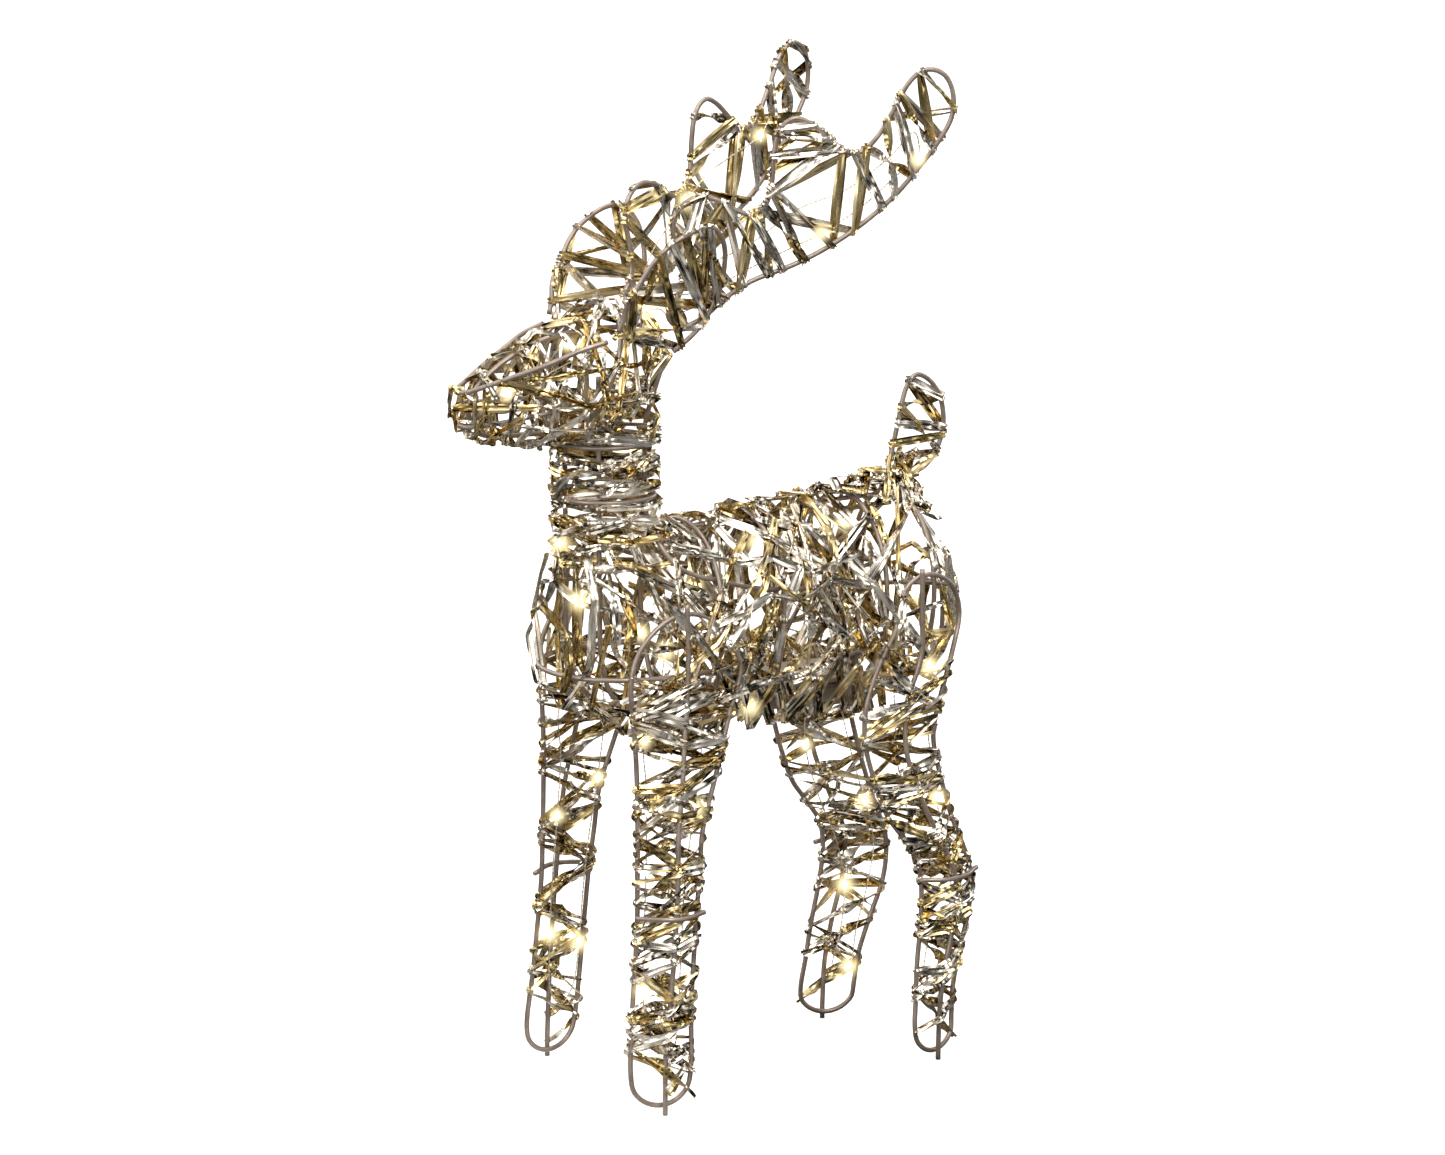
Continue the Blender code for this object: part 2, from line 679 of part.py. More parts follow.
def head_tape():
    """Helix round the muzzle, widening to the back."""
    turns, per_turn = 3, 10
    path, normals = [], []
    for k in range(turns * per_turn + 1):
        t = k / (turns * per_turn)
        top, bottom = 421 + 30.6 * t, 400 - 5 * min(1, 3 * t)
        half_z = (top - bottom) / 2 + 15
        half_x = 12 + 22 * t + 15.8
        angle = 2 * math.pi * k / per_turn
        x, z = half_x * math.sin(angle), half_z * math.cos(angle)
        path.append((x, -174 + 36 * t, (top + bottom) / 2 + z))
        normals.append((math.sin(angle) / half_x, 0, math.cos(angle) / half_z))
    tape("tape_head", path, normals)


def wavy_tape(name, line, normal, wave, swings, side=1):
    """Tape on one face of a flat outline, swinging from side to side of its middle line."""
    line = smooth(line, per=20)
    lengths = arc_lengths(line)
    normal = np.array(normal, float) / np.linalg.norm(normal)
    steps = swings * 8
    path = []
    for k in range(steps + 1):
        s = lengths[-1] * k / steps
        chord = chord_at(line, lengths, s)
        across = np.cross(normal, chord / np.linalg.norm(chord))
        swing = wave * math.sin(2 * math.pi * swings * k / steps)
        path.append(point_at(line, lengths, s) + normal * FLAT_TAPE_LIFT + across * swing)
    path = on_side(path, side)
    normals = on_side([normal] * len(path), side)
    tape(name, path[::side], normals[::side])


def build_tapes():
    for side_name, side in SIDES:
        for leg_name, leg in LEGS.items():
            leg_tape(f"tape_{leg_name}_{side_name}_leg", leg, side)
        wavy_tape(f"tape_{side_name}_antler", antler_plane(ANTLER_TAPE), (1, -ANTLER_SPLAY, 0),
                  wave=5, swings=5, side=side)
        wavy_tape(f"tape_{side_name}_ear", EAR_TAPE, EAR_NORMAL, wave=3.5, swings=2, side=side)
    body_tape()
    chest_tape()
    neck_tape()
    head_tape()
    wavy_tape("tape_tail", middle_plane(TAIL_TAPE), (1, 0, 0), wave=3.5, swings=2)


# ---------------------------------------------------------------- battery case
CASE_Y0, CASE_Y1 = 4.0, 66.0
CASE_HALF_W, CASE_Z0, CASE_Z1, CASE_WALL = 20.0, 219.0, 236.0, 1.6
INNER_HALF_W = CASE_HALF_W - CASE_WALL
INNER_Z1 = CASE_Z1 - CASE_WALL
LID_Y0 = 17.0  # front of the cell space, behind the control bay
LID_T = 1.8
LID_SPAN_Z = (CASE_Z0 - CLEAR - LID_T, CASE_Z0 - CLEAR)
HINGE_X, HINGE_Z, PIN_R, PIN_PLAY = -22.6, 217.6, 0.9, 0.13
HINGE_MID_Y = 42
LUG_HALF = 1.9  # hinge lugs and knuckle reach this far past the pin's axis
LUG_SPANS_Y = ((22.0, 27.0), (57.0, 62.0))
PIN_SIDES = 16
CELL_R, CELL_L, CELL_Z = 5.2, 43.2, 227.6
CELL_MID_Y, CELL_PITCH = 40.8, 11.4
CONTACT_SPANS_Y = {"front": (17.6, 18.1), "rear": (63.5, 64.0)}


def hinge_hole(name, y_span):
    return bar_along_y(name, HINGE_X, HINGE_Z, y_span, PIN_R + PIN_PLAY, PLASTIC, PIN_SIDES)


def case_shell():
    shell = box("battery_case", (-CASE_HALF_W, CASE_HALF_W), (CASE_Y0, CASE_Y1),
                (CASE_Z0, CASE_Z1), PLASTIC)

    def add(name, *spans):
        boolean(shell, box(name, *spans, PLASTIC), "UNION")

    def cut(name, *spans):
        boolean(shell, box(name, *spans, PLASTIC), "DIFFERENCE")

    # Ledges that rest on the two belly rails.
    add("case_ledge", (-26, 26), (12, 58), (232.6, 234.8))
    for k, y_span in enumerate(LUG_SPANS_Y):
        add(f"case_lug_{k}", (HINGE_X - LUG_HALF, -CASE_HALF_W + 0.9), y_span,
            (HINGE_Z - LUG_HALF, CASE_Z0 + 2.2))
    # Cell space, open underneath.
    cut("case_hollow", (-INNER_HALF_W, INNER_HALF_W), (LID_Y0 - 0.2, CASE_Y1 - CASE_WALL),
        (CASE_Z0 - 5, INNER_Z1))
    # Control bay above a floor, with the switch slot in it and a cable way in the front wall.
    cut("case_bay", (-INNER_HALF_W, INNER_HALF_W), (CASE_Y0 + CASE_WALL, LID_Y0),
        (CASE_Z0 + CASE_WALL, INNER_Z1))
    cut("case_slot", (-7, 7), (8.2, 12.8), (CASE_Z0 - 5, CASE_Z0 + 5))
    cut("case_cable_way", (-1.6, 1.6), (CASE_Y0 - 3, CASE_Y0 + 4), (229.5, 232.5))
    boolean(shell, hinge_hole("case_pin_hole", (20, 64)), "DIFFERENCE")


def case_lid():
    """Lid under the cell space, hinged on the right, with a catch on the left."""
    lid = box("battery_lid", (-CASE_HALF_W + 1.5, CASE_HALF_W), (LID_Y0 + 0.4, CASE_Y1),
              LID_SPAN_Z, PLASTIC)
    knuckle = box("lid_knuckle", (HINGE_X - LUG_HALF, -CASE_HALF_W + 2), (27.6, 56.4),
                  (HINGE_Z - 1.55, HINGE_Z + 1.05), PLASTIC)
    catch = box("lid_catch", (CASE_HALF_W - 1, CASE_HALF_W + 2.2), (34, 48), LID_SPAN_Z, PLASTIC)
    boolean(lid, knuckle, "UNION")
    boolean(lid, catch, "UNION")
    boolean(lid, hinge_hole("lid_pin_hole", (24, 60)), "DIFFERENCE")
    pivot_at(lid, (HINGE_X, HINGE_MID_Y, HINGE_Z))
    bar_along_y("lid_hinge_pin", HINGE_X, HINGE_Z, (22.3, 61.7), PIN_R, NICKEL, PIN_SIDES)


def case_controls():
    """Sliding switch with its wider foot inside the case, and the board above it."""
    knob = box("mode_switch", (-2.4, 2.4), (9.0, 12.0), (CASE_Z0 - 2.0, CASE_Z0 + 3.4), KNOB)
    foot = box("knob_foot", (-4.5, 4.5), (7.4, 13.6), (CASE_Z0 + 2.0, CASE_Z0 + 3.6), KNOB)
    boolean(knob, foot, "UNION")
    pivot_at(knob, (0, 10.5, CASE_Z0))
    box("control_board", (-16, 16), (6.2, 15.4), (226, 227.2), BOARD)


def case_cells():
    """Three cells side by side, the middle one turned round, between two contact plates."""
    for k in range(3):
        x = (k - 1) * CELL_PITCH
        ends = (CELL_MID_Y - CELL_L / 2, CELL_MID_Y + CELL_L / 2)
        cell = bar_along_y(f"battery_cell_{k + 1}", x, CELL_Z, ends, CELL_R, JACKET, sides=12)
        flip = -1 if k % 2 else 1
        tip_y = CELL_MID_Y + flip * (CELL_L / 2 - 0.5)
        tip = bar_along_y(f"cell_tip_{k}", x, CELL_Z, (tip_y, tip_y + flip * 1.2), 1.9, NICKEL,
                          sides=10)
        boolean(cell, tip, "UNION")
    for end, y_span in CONTACT_SPANS_Y.items():
        box(f"contact_plate_{end}", (-15, 15), y_span, (223.5, 231.5), NICKEL)


# ---------------------------------------------------------------- LED string
LED_R, CABLE_R = 1.7, 0.6
BEAD_HALF, BEAD_END = 1.7, 2.6  # full thickness and end of the taper, from the bead's middle
BEAD_ROOM = 4.2  # other cable points are dropped this near to a bead
CABLE_GAP, BEAD_GAP = 2.7, 3.9  # distance kept from the wires' centrelines
BEAD_NEAR = 4.5  # along the cable, the reach of BEAD_GAP
LED_STEPS = 8  # curve steps between two stops
LEG_LED_IN, ANTLER_LED_IN = 3.6, 3.4  # string inwards of the leg's or the antler's surface

# Stops of the string in order, 1 where a bead sits: (x, y, z, lit).
LED_CASE_TO_LEG = (
    (0, 3.4, 231, 0), (0, -4, 236, 0), (10, -9, 240, 0), (22, -11, 236, 0), (30.5, -13, 225, 1),
    (33, 4, 232, 0), (36, 28, 244, 0), (40, 60, 240, 0), (46, 84, 248, 0), (46.5, 101, 240, 1),
)
LED_REAR_BARREL = (
    (44, 76, 244, 0), (38.5, 75, 262, 0), (37, 78, 287, 1), (26, 74, 310, 0), (6, 66, 323, 1),
    (-20, 74, 314, 0), (-35, 82, 292, 1), (-39, 84, 262, 0), (-43, 80, 240, 0),
)
LED_FRONT_BARREL = (
    (-41, 92, 242, 0), (-32, 68, 256, 0), (-38, 42, 286, 1), (-18, 32, 314, 0), (17, 25, 318, 1),
    (34, 18, 304, 0), (30, 8, 309, 0), (10, 3.5, 318.5, 1), (-20, 2, 313, 0), (-37, -12, 286, 1),
    (-36, -26, 262, 0), (-30, -52, 262, 1), (-12, -30, 296, 0), (14, -34, 318, 0),
    (36, -58, 299, 1), (38, -66, 286, 0), (42.5, -77, 268, 1), (44, -82, 246, 0),
)
LED_CHEST = ((42, -58, 236, 0), (20, -64, 256, 0), (-14, -80, 258, 0), (-38, -74, 240, 0))
LED_NECK_HEAD = (
    (-38, -97, 240, 0), (-26, -108, 268, 0), (-13, -113, 300, 0), (-12, -116, 326, 1),
    (4, -116, 318, 0), (16, -119, 297, 1), (14, -104, 312, 0), (0, -78, 326, 0),
    (-15, -84, 340, 0), (-16, -98, 350, 1), (-2, -110, 360, 0), (14, -100, 368, 0),
    (12, -83, 383, 1), (-6, -82, 396, 0), (-8, -100, 410, 0), (4, -112, 430, 0),
    (6, -121, 446, 1), (0, -134, 432, 0), (-12, -150, 418, 1), (-10, -132, 424, 0),
    (2, -104, 438, 0), (14, -90, 441, 0), (24, -84, 452, 0), (32, -84, 470, 1), (34, -72, 474, 0),
)
LED_SKULL = ((16, -58, 459, 0), (0, -56, 460, 0), (-14, -58, 459, 0))
# Stops on the legs and antlers: (y, z, lit).
LED_REAR_LEFT = (
    (100, 212, 0), (104, 184, 0), (109, 158, 1), (115, 128, 0), (120, 100, 0), (117, 72, 0),
    (114, 50, 1), (108, 34, 0), (100, 33, 0), (97, 52, 0), (102, 78, 0), (104, 104, 1),
    (98, 132, 0), (84, 160, 0), (78, 190, 0), (76, 214, 0),
)
LED_REAR_RIGHT = (
    (74, 212, 0), (72, 176, 1), (80, 146, 0), (94, 112, 0), (99, 85, 1), (96, 56, 0), (92, 35, 0),
    (101, 34, 1), (106, 58, 0), (114, 88, 0), (117, 112, 0), (111, 137, 1), (104, 160, 0),
    (97, 190, 0), (94, 214, 0),
)
LED_FRONT_LEFT = (
    (-97, 219, 1), (-96, 190, 0), (-97, 150, 0), (-99, 110, 0), (-101, 72, 1), (-99, 46, 0),
    (-93, 34, 0), (-84, 36, 0), (-80, 60, 0), (-77, 98, 1), (-73, 138, 0), (-66, 176, 1),
    (-60, 208, 0),
)
LED_FRONT_RIGHT = (
    (-64, 210, 0), (-67, 171, 1), (-73, 130, 0), (-76, 98, 0), (-78, 70, 1), (-82, 44, 0),
    (-90, 34, 0), (-98, 42, 0), (-100, 79, 1), (-99, 116, 0), (-96, 152, 1), (-94, 190, 0),
    (-96, 214, 0),
)
LED_ANTLER_LEFT = (
    (-50, 474, 0), (-46, 486, 0), (-20, 500, 0), (8, 520, 0), (34, 530, 0), (58, 548, 0),
    (72, 562, 0), (74, 546, 1), (64, 539, 0), (44, 521, 0), (20, 505, 1), (-8, 492, 0),
    (-34, 478, 0), (-46, 467, 0),
)
LED_ANTLER_RIGHT = (
    (-54, 466, 0), (-46, 486, 0), (-15, 515, 1), (3, 529, 1), (20, 536, 0), (47, 546.5, 1),
    (56, 556, 0),
)


def leg_stops(leg, side, rows):
    """Stops on the inner side of a leg."""
    stops = []
    for y, z, lit in rows:
        shift = side * leg.stance * stance_share(z)
        x = leg.place(y - shift - leg.foot_y, z, -LEG_LED_IN)[0]
        stops.append((side * x, y, z, lit))
    return stops


def antler_stops(side, rows):
    """Stops on the inner face of an antler."""
    normal = np.array([1, -ANTLER_SPLAY]) / math.hypot(1, ANTLER_SPLAY)
    dx, dy = -ANTLER_LED_IN * normal
    return [(side * (ANTLER_X0 + ANTLER_SPLAY * y + dx), y + dy, z, lit) for y, z, lit in rows]


def led_route():
    """Case, rear legs, barrel, front legs, chest, neck, head, antlers."""
    return [
        *LED_CASE_TO_LEG,
        *leg_stops(LEGS["rear"], 1, LED_REAR_LEFT),
        *LED_REAR_BARREL,
        *leg_stops(LEGS["rear"], -1, LED_REAR_RIGHT),
        *LED_FRONT_BARREL,
        *leg_stops(LEGS["front"], 1, LED_FRONT_LEFT),
        *LED_CHEST,
        *leg_stops(LEGS["front"], -1, LED_FRONT_RIGHT),
        *LED_NECK_HEAD,
        *antler_stops(1, LED_ANTLER_LEFT),
        *LED_SKULL,
        *antler_stops(-1, LED_ANTLER_RIGHT),
    ]


def resample(path, step, closed):
    """Points about one step apart along the path."""
    if closed:
        path = np.vstack([path, path[:1]])
    lengths = arc_lengths(path)
    count = max(2, int(round(lengths[-1] / step)))
    s = np.linspace(0, lengths[-1], count, endpoint=not closed)
    return point_at(path, lengths, s).T


def clear_of_wires(path, wires, gaps):
    """Eases the path off any wire nearer than its gap, and its neighbouring points with it."""
    rods = np.vstack([resample(wire.points, 2.5, wire.closed) for wire in wires])
    path = path.copy()
    for _ in range(30):
        push = np.zeros_like(path)
        for i, point in enumerate(path):
            away = point - rods
            distances = np.linalg.norm(away, axis=1)
            j = int(distances.argmin())
            nearest = distances[j]
            if nearest < gaps[i]:
                push[i] = away[j] / (nearest + 1e-6) * (gaps[i] - nearest)
        if not push.any():
            break
        for _ in range(2):
            moved = np.abs(push[1:-1]).sum(1)[:, None] > 0
            push[1:-1] = np.where(moved, push[1:-1], (push[:-2] + push[2:]) / 3)
        path += push
    return path


def led_string(wires):
    """One fine cable that swells into beads."""
    route = led_route()
    path = smooth([stop[:3] for stop in route], per=LED_STEPS)
    lit = [LED_STEPS * k for k, stop in enumerate(route) if stop[3]]
    lengths = arc_lengths(path)
    to_bead = np.min([np.abs(lengths - lengths[k]) for k in lit], axis=0)
    path = clear_of_wires(path, wires, np.where(to_bead < BEAD_NEAR, BEAD_GAP, CABLE_GAP))
    lengths = arc_lengths(path)

    # Stations along the cable: (arc length, factor on the cable's radius).
    stations = []
    for point in thinned(path, 0.4):
        stations.append((float(lengths[np.abs(path - point).sum(1).argmin()]), 1.0))
    swell = LED_R / CABLE_R
    for k in lit:
        mid = float(lengths[k])
        stations = [
            (s, factor) for s, factor in stations if not mid - BEAD_ROOM < s < mid + BEAD_ROOM
        ]
        stations += [(mid - BEAD_END, 1.0), (mid - BEAD_HALF, swell),
                     (mid + BEAD_HALF, swell), (mid + BEAD_END, 1.0)]
    stations.sort()
    points = [point_at(path, lengths, s) for s, _ in stations]
    rod("led_string", points, LED, radius=CABLE_R, bevel_steps=0,
        radius_factors=[factor for _, factor in stations])


# ---------------------------------------------------------------- build
frame_wires = all_wires()
build_wires(frame_wires)
build_tapes()
case_shell()
case_lid()
case_controls()
case_cells()
led_string(frame_wires.values())
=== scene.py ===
"""Looks of a light-up yard reindeer: painted wires, crinkled metallised tape, an LED string and a
battery case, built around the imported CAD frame.

The deer stands on z = 0 with its head towards -Y and its left side towards +X. Shapes are in
millimetres, with y counted from the middle between the feet; world() turns them into scene metres.
"""

import math
from typing import Callable, NamedTuple

import bpy
import mathutils
import numpy as np
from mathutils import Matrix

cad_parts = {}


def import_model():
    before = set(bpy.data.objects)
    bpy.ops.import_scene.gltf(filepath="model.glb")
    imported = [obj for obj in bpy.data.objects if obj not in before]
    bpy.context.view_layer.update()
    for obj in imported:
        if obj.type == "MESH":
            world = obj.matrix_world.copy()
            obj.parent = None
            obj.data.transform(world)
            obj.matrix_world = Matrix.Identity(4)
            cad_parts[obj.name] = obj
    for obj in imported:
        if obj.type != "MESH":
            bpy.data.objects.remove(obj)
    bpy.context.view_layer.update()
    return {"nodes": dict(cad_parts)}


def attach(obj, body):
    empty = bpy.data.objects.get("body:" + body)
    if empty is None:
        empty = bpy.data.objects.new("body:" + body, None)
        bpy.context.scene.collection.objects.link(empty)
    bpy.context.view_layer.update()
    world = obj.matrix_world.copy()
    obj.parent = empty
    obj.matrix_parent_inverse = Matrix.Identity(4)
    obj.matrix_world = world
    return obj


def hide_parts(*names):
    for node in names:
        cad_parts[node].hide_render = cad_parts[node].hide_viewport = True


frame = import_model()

MM = 0.001
BOX_MID_Y = -24.64  # the scene's y = 0
TAU = 2 * math.pi
SIDES = {"left": 1, "right": -1}  # sign of x

WIRE_R = 1.5
STEP_OVER = 3.35  # between the centrelines of wires that lie on each other
BOW = 7.6  # how far the leg spines bow outwards
STANCE = 6.5  # how far the rear hooves are staggered, left back and right forward
STANCE_Z, STANCE_FADE = 8, 182  # the stagger fades out over this height above STANCE_Z
HOOF_LIFT = 5.0
BODY_MID_Z, SPINE_Z = 286.0, 331.0
NECK_Y, NECK_RING_R = -93.0, 28.8
CHEST_RING_Z = 254.0
ANTLER_X0, ANTLER_SPLAY = 49.0, 0.338


# ---------------------------------------------------------------- points and paths
def world(points):
    return (np.asarray(points, float) - [0, BOX_MID_Y, 0]) * MM


def unit(vector):
    vector = np.asarray(vector, float)
    return vector / (np.linalg.norm(vector) + 1e-9)


def on_side(points, sign):
    """Points of the left side, kept there (1) or mirrored to the right (-1)."""
    return np.asarray(points, float) * [sign, 1, 1]


def path_lengths(points):
    """Length along a path at each of its points."""
    return np.r_[0, np.cumsum(np.linalg.norm(np.diff(points, axis=0), axis=1))]


def at_lengths(where, lengths, values):
    """Columns of values, interpolated at these lengths."""
    columns = [np.interp(where, lengths, values[:, i]) for i in range(values.shape[1])]
    return np.stack(columns, -1)


def resample(path, step, closed=False):
    line = np.vstack([path, path[:1]]) if closed else np.asarray(path, float)
    lengths = path_lengths(line)
    count = max(2, int(round(lengths[-1] / step)))
    return at_lengths(np.linspace(0, lengths[-1], count, endpoint=not closed), lengths, line)


def section_at(rows, z):
    """Cubic interpolation of a table whose first column is z."""
    rows = np.asarray(rows, float)
    levels = rows[:, 0]
    z = min(max(z, levels[0]), levels[-1])
    i = int(min(max(np.searchsorted(levels, z) - 1, 0), len(levels) - 2))
    step = levels[i + 1] - levels[i]
    t = (z - levels[i]) / step

    def slope(k):
        low, high = max(k - 1, 0), min(k + 1, len(levels) - 1)
        return (rows[high, 1:] - rows[low, 1:]) / (levels[high] - levels[low])

    return (
        (2 * t**3 - 3 * t**2 + 1) * rows[i, 1:]
        + (t**3 - 2 * t**2 + t) * (slope(i) * step)
        + (3 * t**2 - 2 * t**3) * rows[i + 1, 1:]
        + (t**3 - t**2) * (slope(i + 1) * step)
    )


def smooth(points, closed=False, per=12):
    """Centripetal Catmull-Rom curve with this many points per span."""
    points = np.asarray(points, float)
    if closed:
        padded = np.vstack([points[-1:], points, points[:2]])
    else:
        padded = np.vstack([2 * points[0] - points[1], points, 2 * points[-1] - points[-2]])
    out = []
    for i in range(len(padded) - 3):
        ctrl = padded[i : i + 4]
        knots = [0.0]
        for here, after in zip(ctrl, ctrl[1:]):
            knots.append(knots[-1] + max(np.linalg.norm(after - here), 1e-6) ** 0.5)

        def blend(first, last, start, end):
            start, end = knots[start], knots[end]
            return (end - at) / (end - start) * first + (at - start) / (end - start) * last

        for at in np.linspace(knots[1], knots[2], per, endpoint=False):
            before = blend(ctrl[0], ctrl[1], 0, 1)
            middle = blend(ctrl[1], ctrl[2], 1, 2)
            beyond = blend(ctrl[2], ctrl[3], 2, 3)
            out.append(blend(blend(before, middle, 0, 2), blend(middle, beyond, 1, 3), 1, 2))
    if not closed:
        out.append(points[-1])
    return np.array(out)


# ---------------------------------------------------------------- legs
# Sections of the leg loops: z, then the offsets from the foot in y of the front and rear strands
FRONT_LEG = (
    (24, -17.8, 18.6), (60, -14.8, 21.0), (90, -12, 23.5), (117, -10, 26), (140, -9.5, 29),
    (163, -9, 31.5), (199, -9, 43), (230, -10.5, 53), (255, -11.5, 61.5))
REAR_LEG = (
    (22, -16, 16), (40, -14, 18), (60, -12, 23.5), (85, -8, 32), (100, -6.5, 34),
    (112, -6.5, 33.5), (126, -9.5, 29), (141, -20, 22.5), (154, -29.5, 18), (176, -38, 11.5),
    (198, -44, 7), (213, -45, 9), (225, -43, 12), (249, -33, 20))
# Tops of the leg loops: offset in y, z
FRONT_ARCH = ((-6, 271), (5, 283), (19, 290), (35, 289.5), (48, 281), (58, 267.5))
REAR_ARCH = (
    (-25, 262), (-20.5, 272), (-19, 284), (-13, 292.5), (0, 296.5), (13, 292), (23, 281), (27, 268))
# Rear leg plane: z, shift in x, slope of x over y
REAR_PLANE = ((0, 0, -0.33), (110, -5.0, -0.21), (200, -1.5, -0.12), (250, 0.0, -0.04))
FRONT_FOOT_X, FRONT_FOOT_Y = 67.0, -95.0
REAR_FOOT_X, REAR_FOOT_Y = 52.0, 96.2
FRONT_LEAN = 13.1  # how far the front leg leans in over FRONT_LEAN_HEIGHT
FRONT_LEAN_HEIGHT = 254
FRONT_TURN = 0.176  # slope of x over y in the lower front leg
RUMP_Y, RUMP_CURVE = 103, 0.017  # behind RUMP_Y the rump narrows with the square of y


def rump_inset(y):
    return RUMP_CURVE * max(0.0, y - RUMP_Y) ** 2


def front_place(offset, z, out=0.0):
    """Point of the front left leg's plane, moved outwards by out."""
    turn = FRONT_TURN * min(1.0, max(0.0, (235 - z) / 110))
    x = FRONT_FOOT_X - FRONT_LEAN * z / FRONT_LEAN_HEIGHT + offset * turn
    x -= 2.0 * turn / FRONT_TURN if z > 30 else 0
    return np.array([x + out, FRONT_FOOT_Y + offset, z])


def rear_place(offset, z, out=0.0):
    """Point of the rear left leg's plane, moved outwards by out."""
    shift, slope = section_at(REAR_PLANE, z)
    middle = sum(section_at(REAR_LEG, z)) / 2
    y = REAR_FOOT_Y + offset
    x = REAR_FOOT_X + shift + (offset - middle) * slope
    x -= rump_inset(y) * min(1.0, max(0.0, (z - 215) / 30))
    return np.array([x + out, y, z])


class Leg(NamedTuple):
    name: str
    sections: tuple
    arch: tuple
    place: Callable
    foot_y: float
    hoof_r: float
    bow_top: float  # the outward bow ends at this height
    spine_top: float
    brace: str
    brace_z: float
    stance: float


FRONT = Leg("front", FRONT_LEG, FRONT_ARCH, front_place, foot_y=FRONT_FOOT_Y, hoof_r=18.6,
            bow_top=235, spine_top=297, brace="knee", brace_z=117.0, stance=0.0)
REAR = Leg("rear", REAR_LEG, REAR_ARCH, rear_place, foot_y=REAR_FOOT_Y, hoof_r=17.2,
           bow_top=225, spine_top=301, brace="hock", brace_z=112.0, stance=STANCE)


def leg_loop(leg):
    path = [leg.place(front, z) for z, front, _ in leg.sections]
    path += [leg.place(offset, z) for offset, z in leg.arch]
    path += [leg.place(rear, z) for z, _, rear in leg.sections[::-1]]
    for angle in np.radians([60, 30, 0, -30, -60]):
        z = HOOF_LIFT + leg.hoof_r * (1 - math.cos(angle))
        path.append(leg.place(leg.hoof_r * math.sin(angle), z))
    return smooth(path, closed=True)


def spine_out(leg, z):
    return STEP_OVER + 0.05 + BOW * math.sin(math.pi * min(z / leg.bow_top, 1.0))


def leg_spine(leg):
    path = []
    for z in np.linspace(8, leg.spine_top, 12):
        path.append(leg.place(sum(section_at(leg.sections, z)) / 2, z, spine_out(leg, z)))
    return np.vstack([path[0] * [1, 1, 0], smooth(path)])


def leg_brace(leg):
    """Short wire from strand to strand, bowed out under the spine."""
    front, rear = section_at(leg.sections, leg.brace_z)
    deep = BOW * math.sin(math.pi * leg.brace_z / leg.bow_top) + STEP_OVER
    path = []
    for t in np.linspace(-0.08, 1.08, 9):
        lift = math.sin(math.pi * min(max(t, 0), 1)) ** 0.8
        out = STEP_OVER + 0.1 + (deep - 0.3) * lift
        path.append(leg.place(front + (rear - front) * t, leg.brace_z, out))
    return smooth(path)


def stance_share(z):
    return np.clip(1 - (z - STANCE_Z) / STANCE_FADE, 0, 1)


def leg_on_side(points, leg, sign):
    """Left leg points put on their side, with that leg's stagger."""
    points = on_side(points, sign)
    points[..., 1] += sign * leg.stance * stance_share(points[..., 2])
    return points


# ---------------------------------------------------------------- centrelines of the wires
# Hoops across the body: y, half width, top z, bottom z
HOOPS = {
    "body_hoop_front": (-42.0, 48.0, 335.0, 208.0), "body_hoop_middle": (0.0, 47.0, 335.5, 214.0),
    "body_hoop_rear": (70.0, 48.0, 340.0, 218.0), "rump_hoop": (104.0, 46.0, 338.0, 224.0)}
# Wires in the middle plane: y, z
SPINE = (
    (-60.5, 345.5), (-56.5, 337), (-46, SPINE_Z + 0.5), (-16, SPINE_Z), (30, SPINE_Z + 2),
    (70, SPINE_Z + 5.3), (104, SPINE_Z + 3.2), (120, 324), (131, 304), (137.5, 280), (139.5, 262),
    (138, 246), (133, 237))
BRIDGE = (
    (-74, 450.5), (-84, 452), (-107, 452), (-127, 450), (-141, 446), (-158, 438.5), (-169, 431),
    (-177.5, 423), (-181.5, 412), (-179.5, 401.5), (-172, 397), (-160, 395), (-146, 395),
    (-130, 394))
TAIL = (
    (99.5, 350), (103, 362), (108, 382), (112, 397), (116, 404), (121, 406), (130, 401),
    (137, 390), (139, 374), (134, 359), (124, 349.5), (112, 343.8), (103, 343))
# Antler outline in its splayed plane: y, z
ANTLER = (
    (-66, 461), (-59, 474), (-57.5, 486), (-60, 497), (-63, 508), (-62, 518), (-56, 526),
    (-47, 529), (-38, 526.5), (-29, 521), (-19, 518), (-12, 523), (-8.5, 534), (-7.5, 547),
    (-5.5, 561), (-1.5, 569), (5, 572.5), (12, 570), (22, 562), (32, 552.5), (41, 552), (50, 560),
    (59, 575), (67, 590), (73, 596.3), (80, 598.6), (88, 595), (92.5, 585), (92, 571), (84, 556),
    (72, 540), (60, 526), (41, 509.5), (22, 497), (4, 488), (-20, 479), (-34, 470), (-48, 458),
    (-60, 454))
# Wires of the left side: x, y, z
FLANK = (
    (25.5, -69.5, 431), (23, -73.5, 416), (20.6, -77.2, 400), (20, -78, 387), (20, -78, 358),
    (20.6, -78, 349), (25.5, -77, 338), (33, -74, 327), (39, -68, 317), (40.6, -56, 310),
    (40.2, -42, 306), (41.5, -18, 299), (42.4, 0, 296), (44.0, 40, 295), (44.0, 70, 293),
    (42.1, 104, 289), (35, 124, 284), (20, 134.5, 279), (4.2, 138.5, 275))
BELLY = (
    (20, -108, 428), (20, -108, 340), (20, -108, 290), (20.5, -107, 262), (21, -101, 241),
    (22, -86, 227.5), (23, -62, 222.6), (23.5, -42, 222.5), (23.5, 0, 228.4), (23.5, 35, 229.2),
    (23.5, 70, 231), (23, 104, 237), (17, 120, 239.5), (4.6, 131, 242))
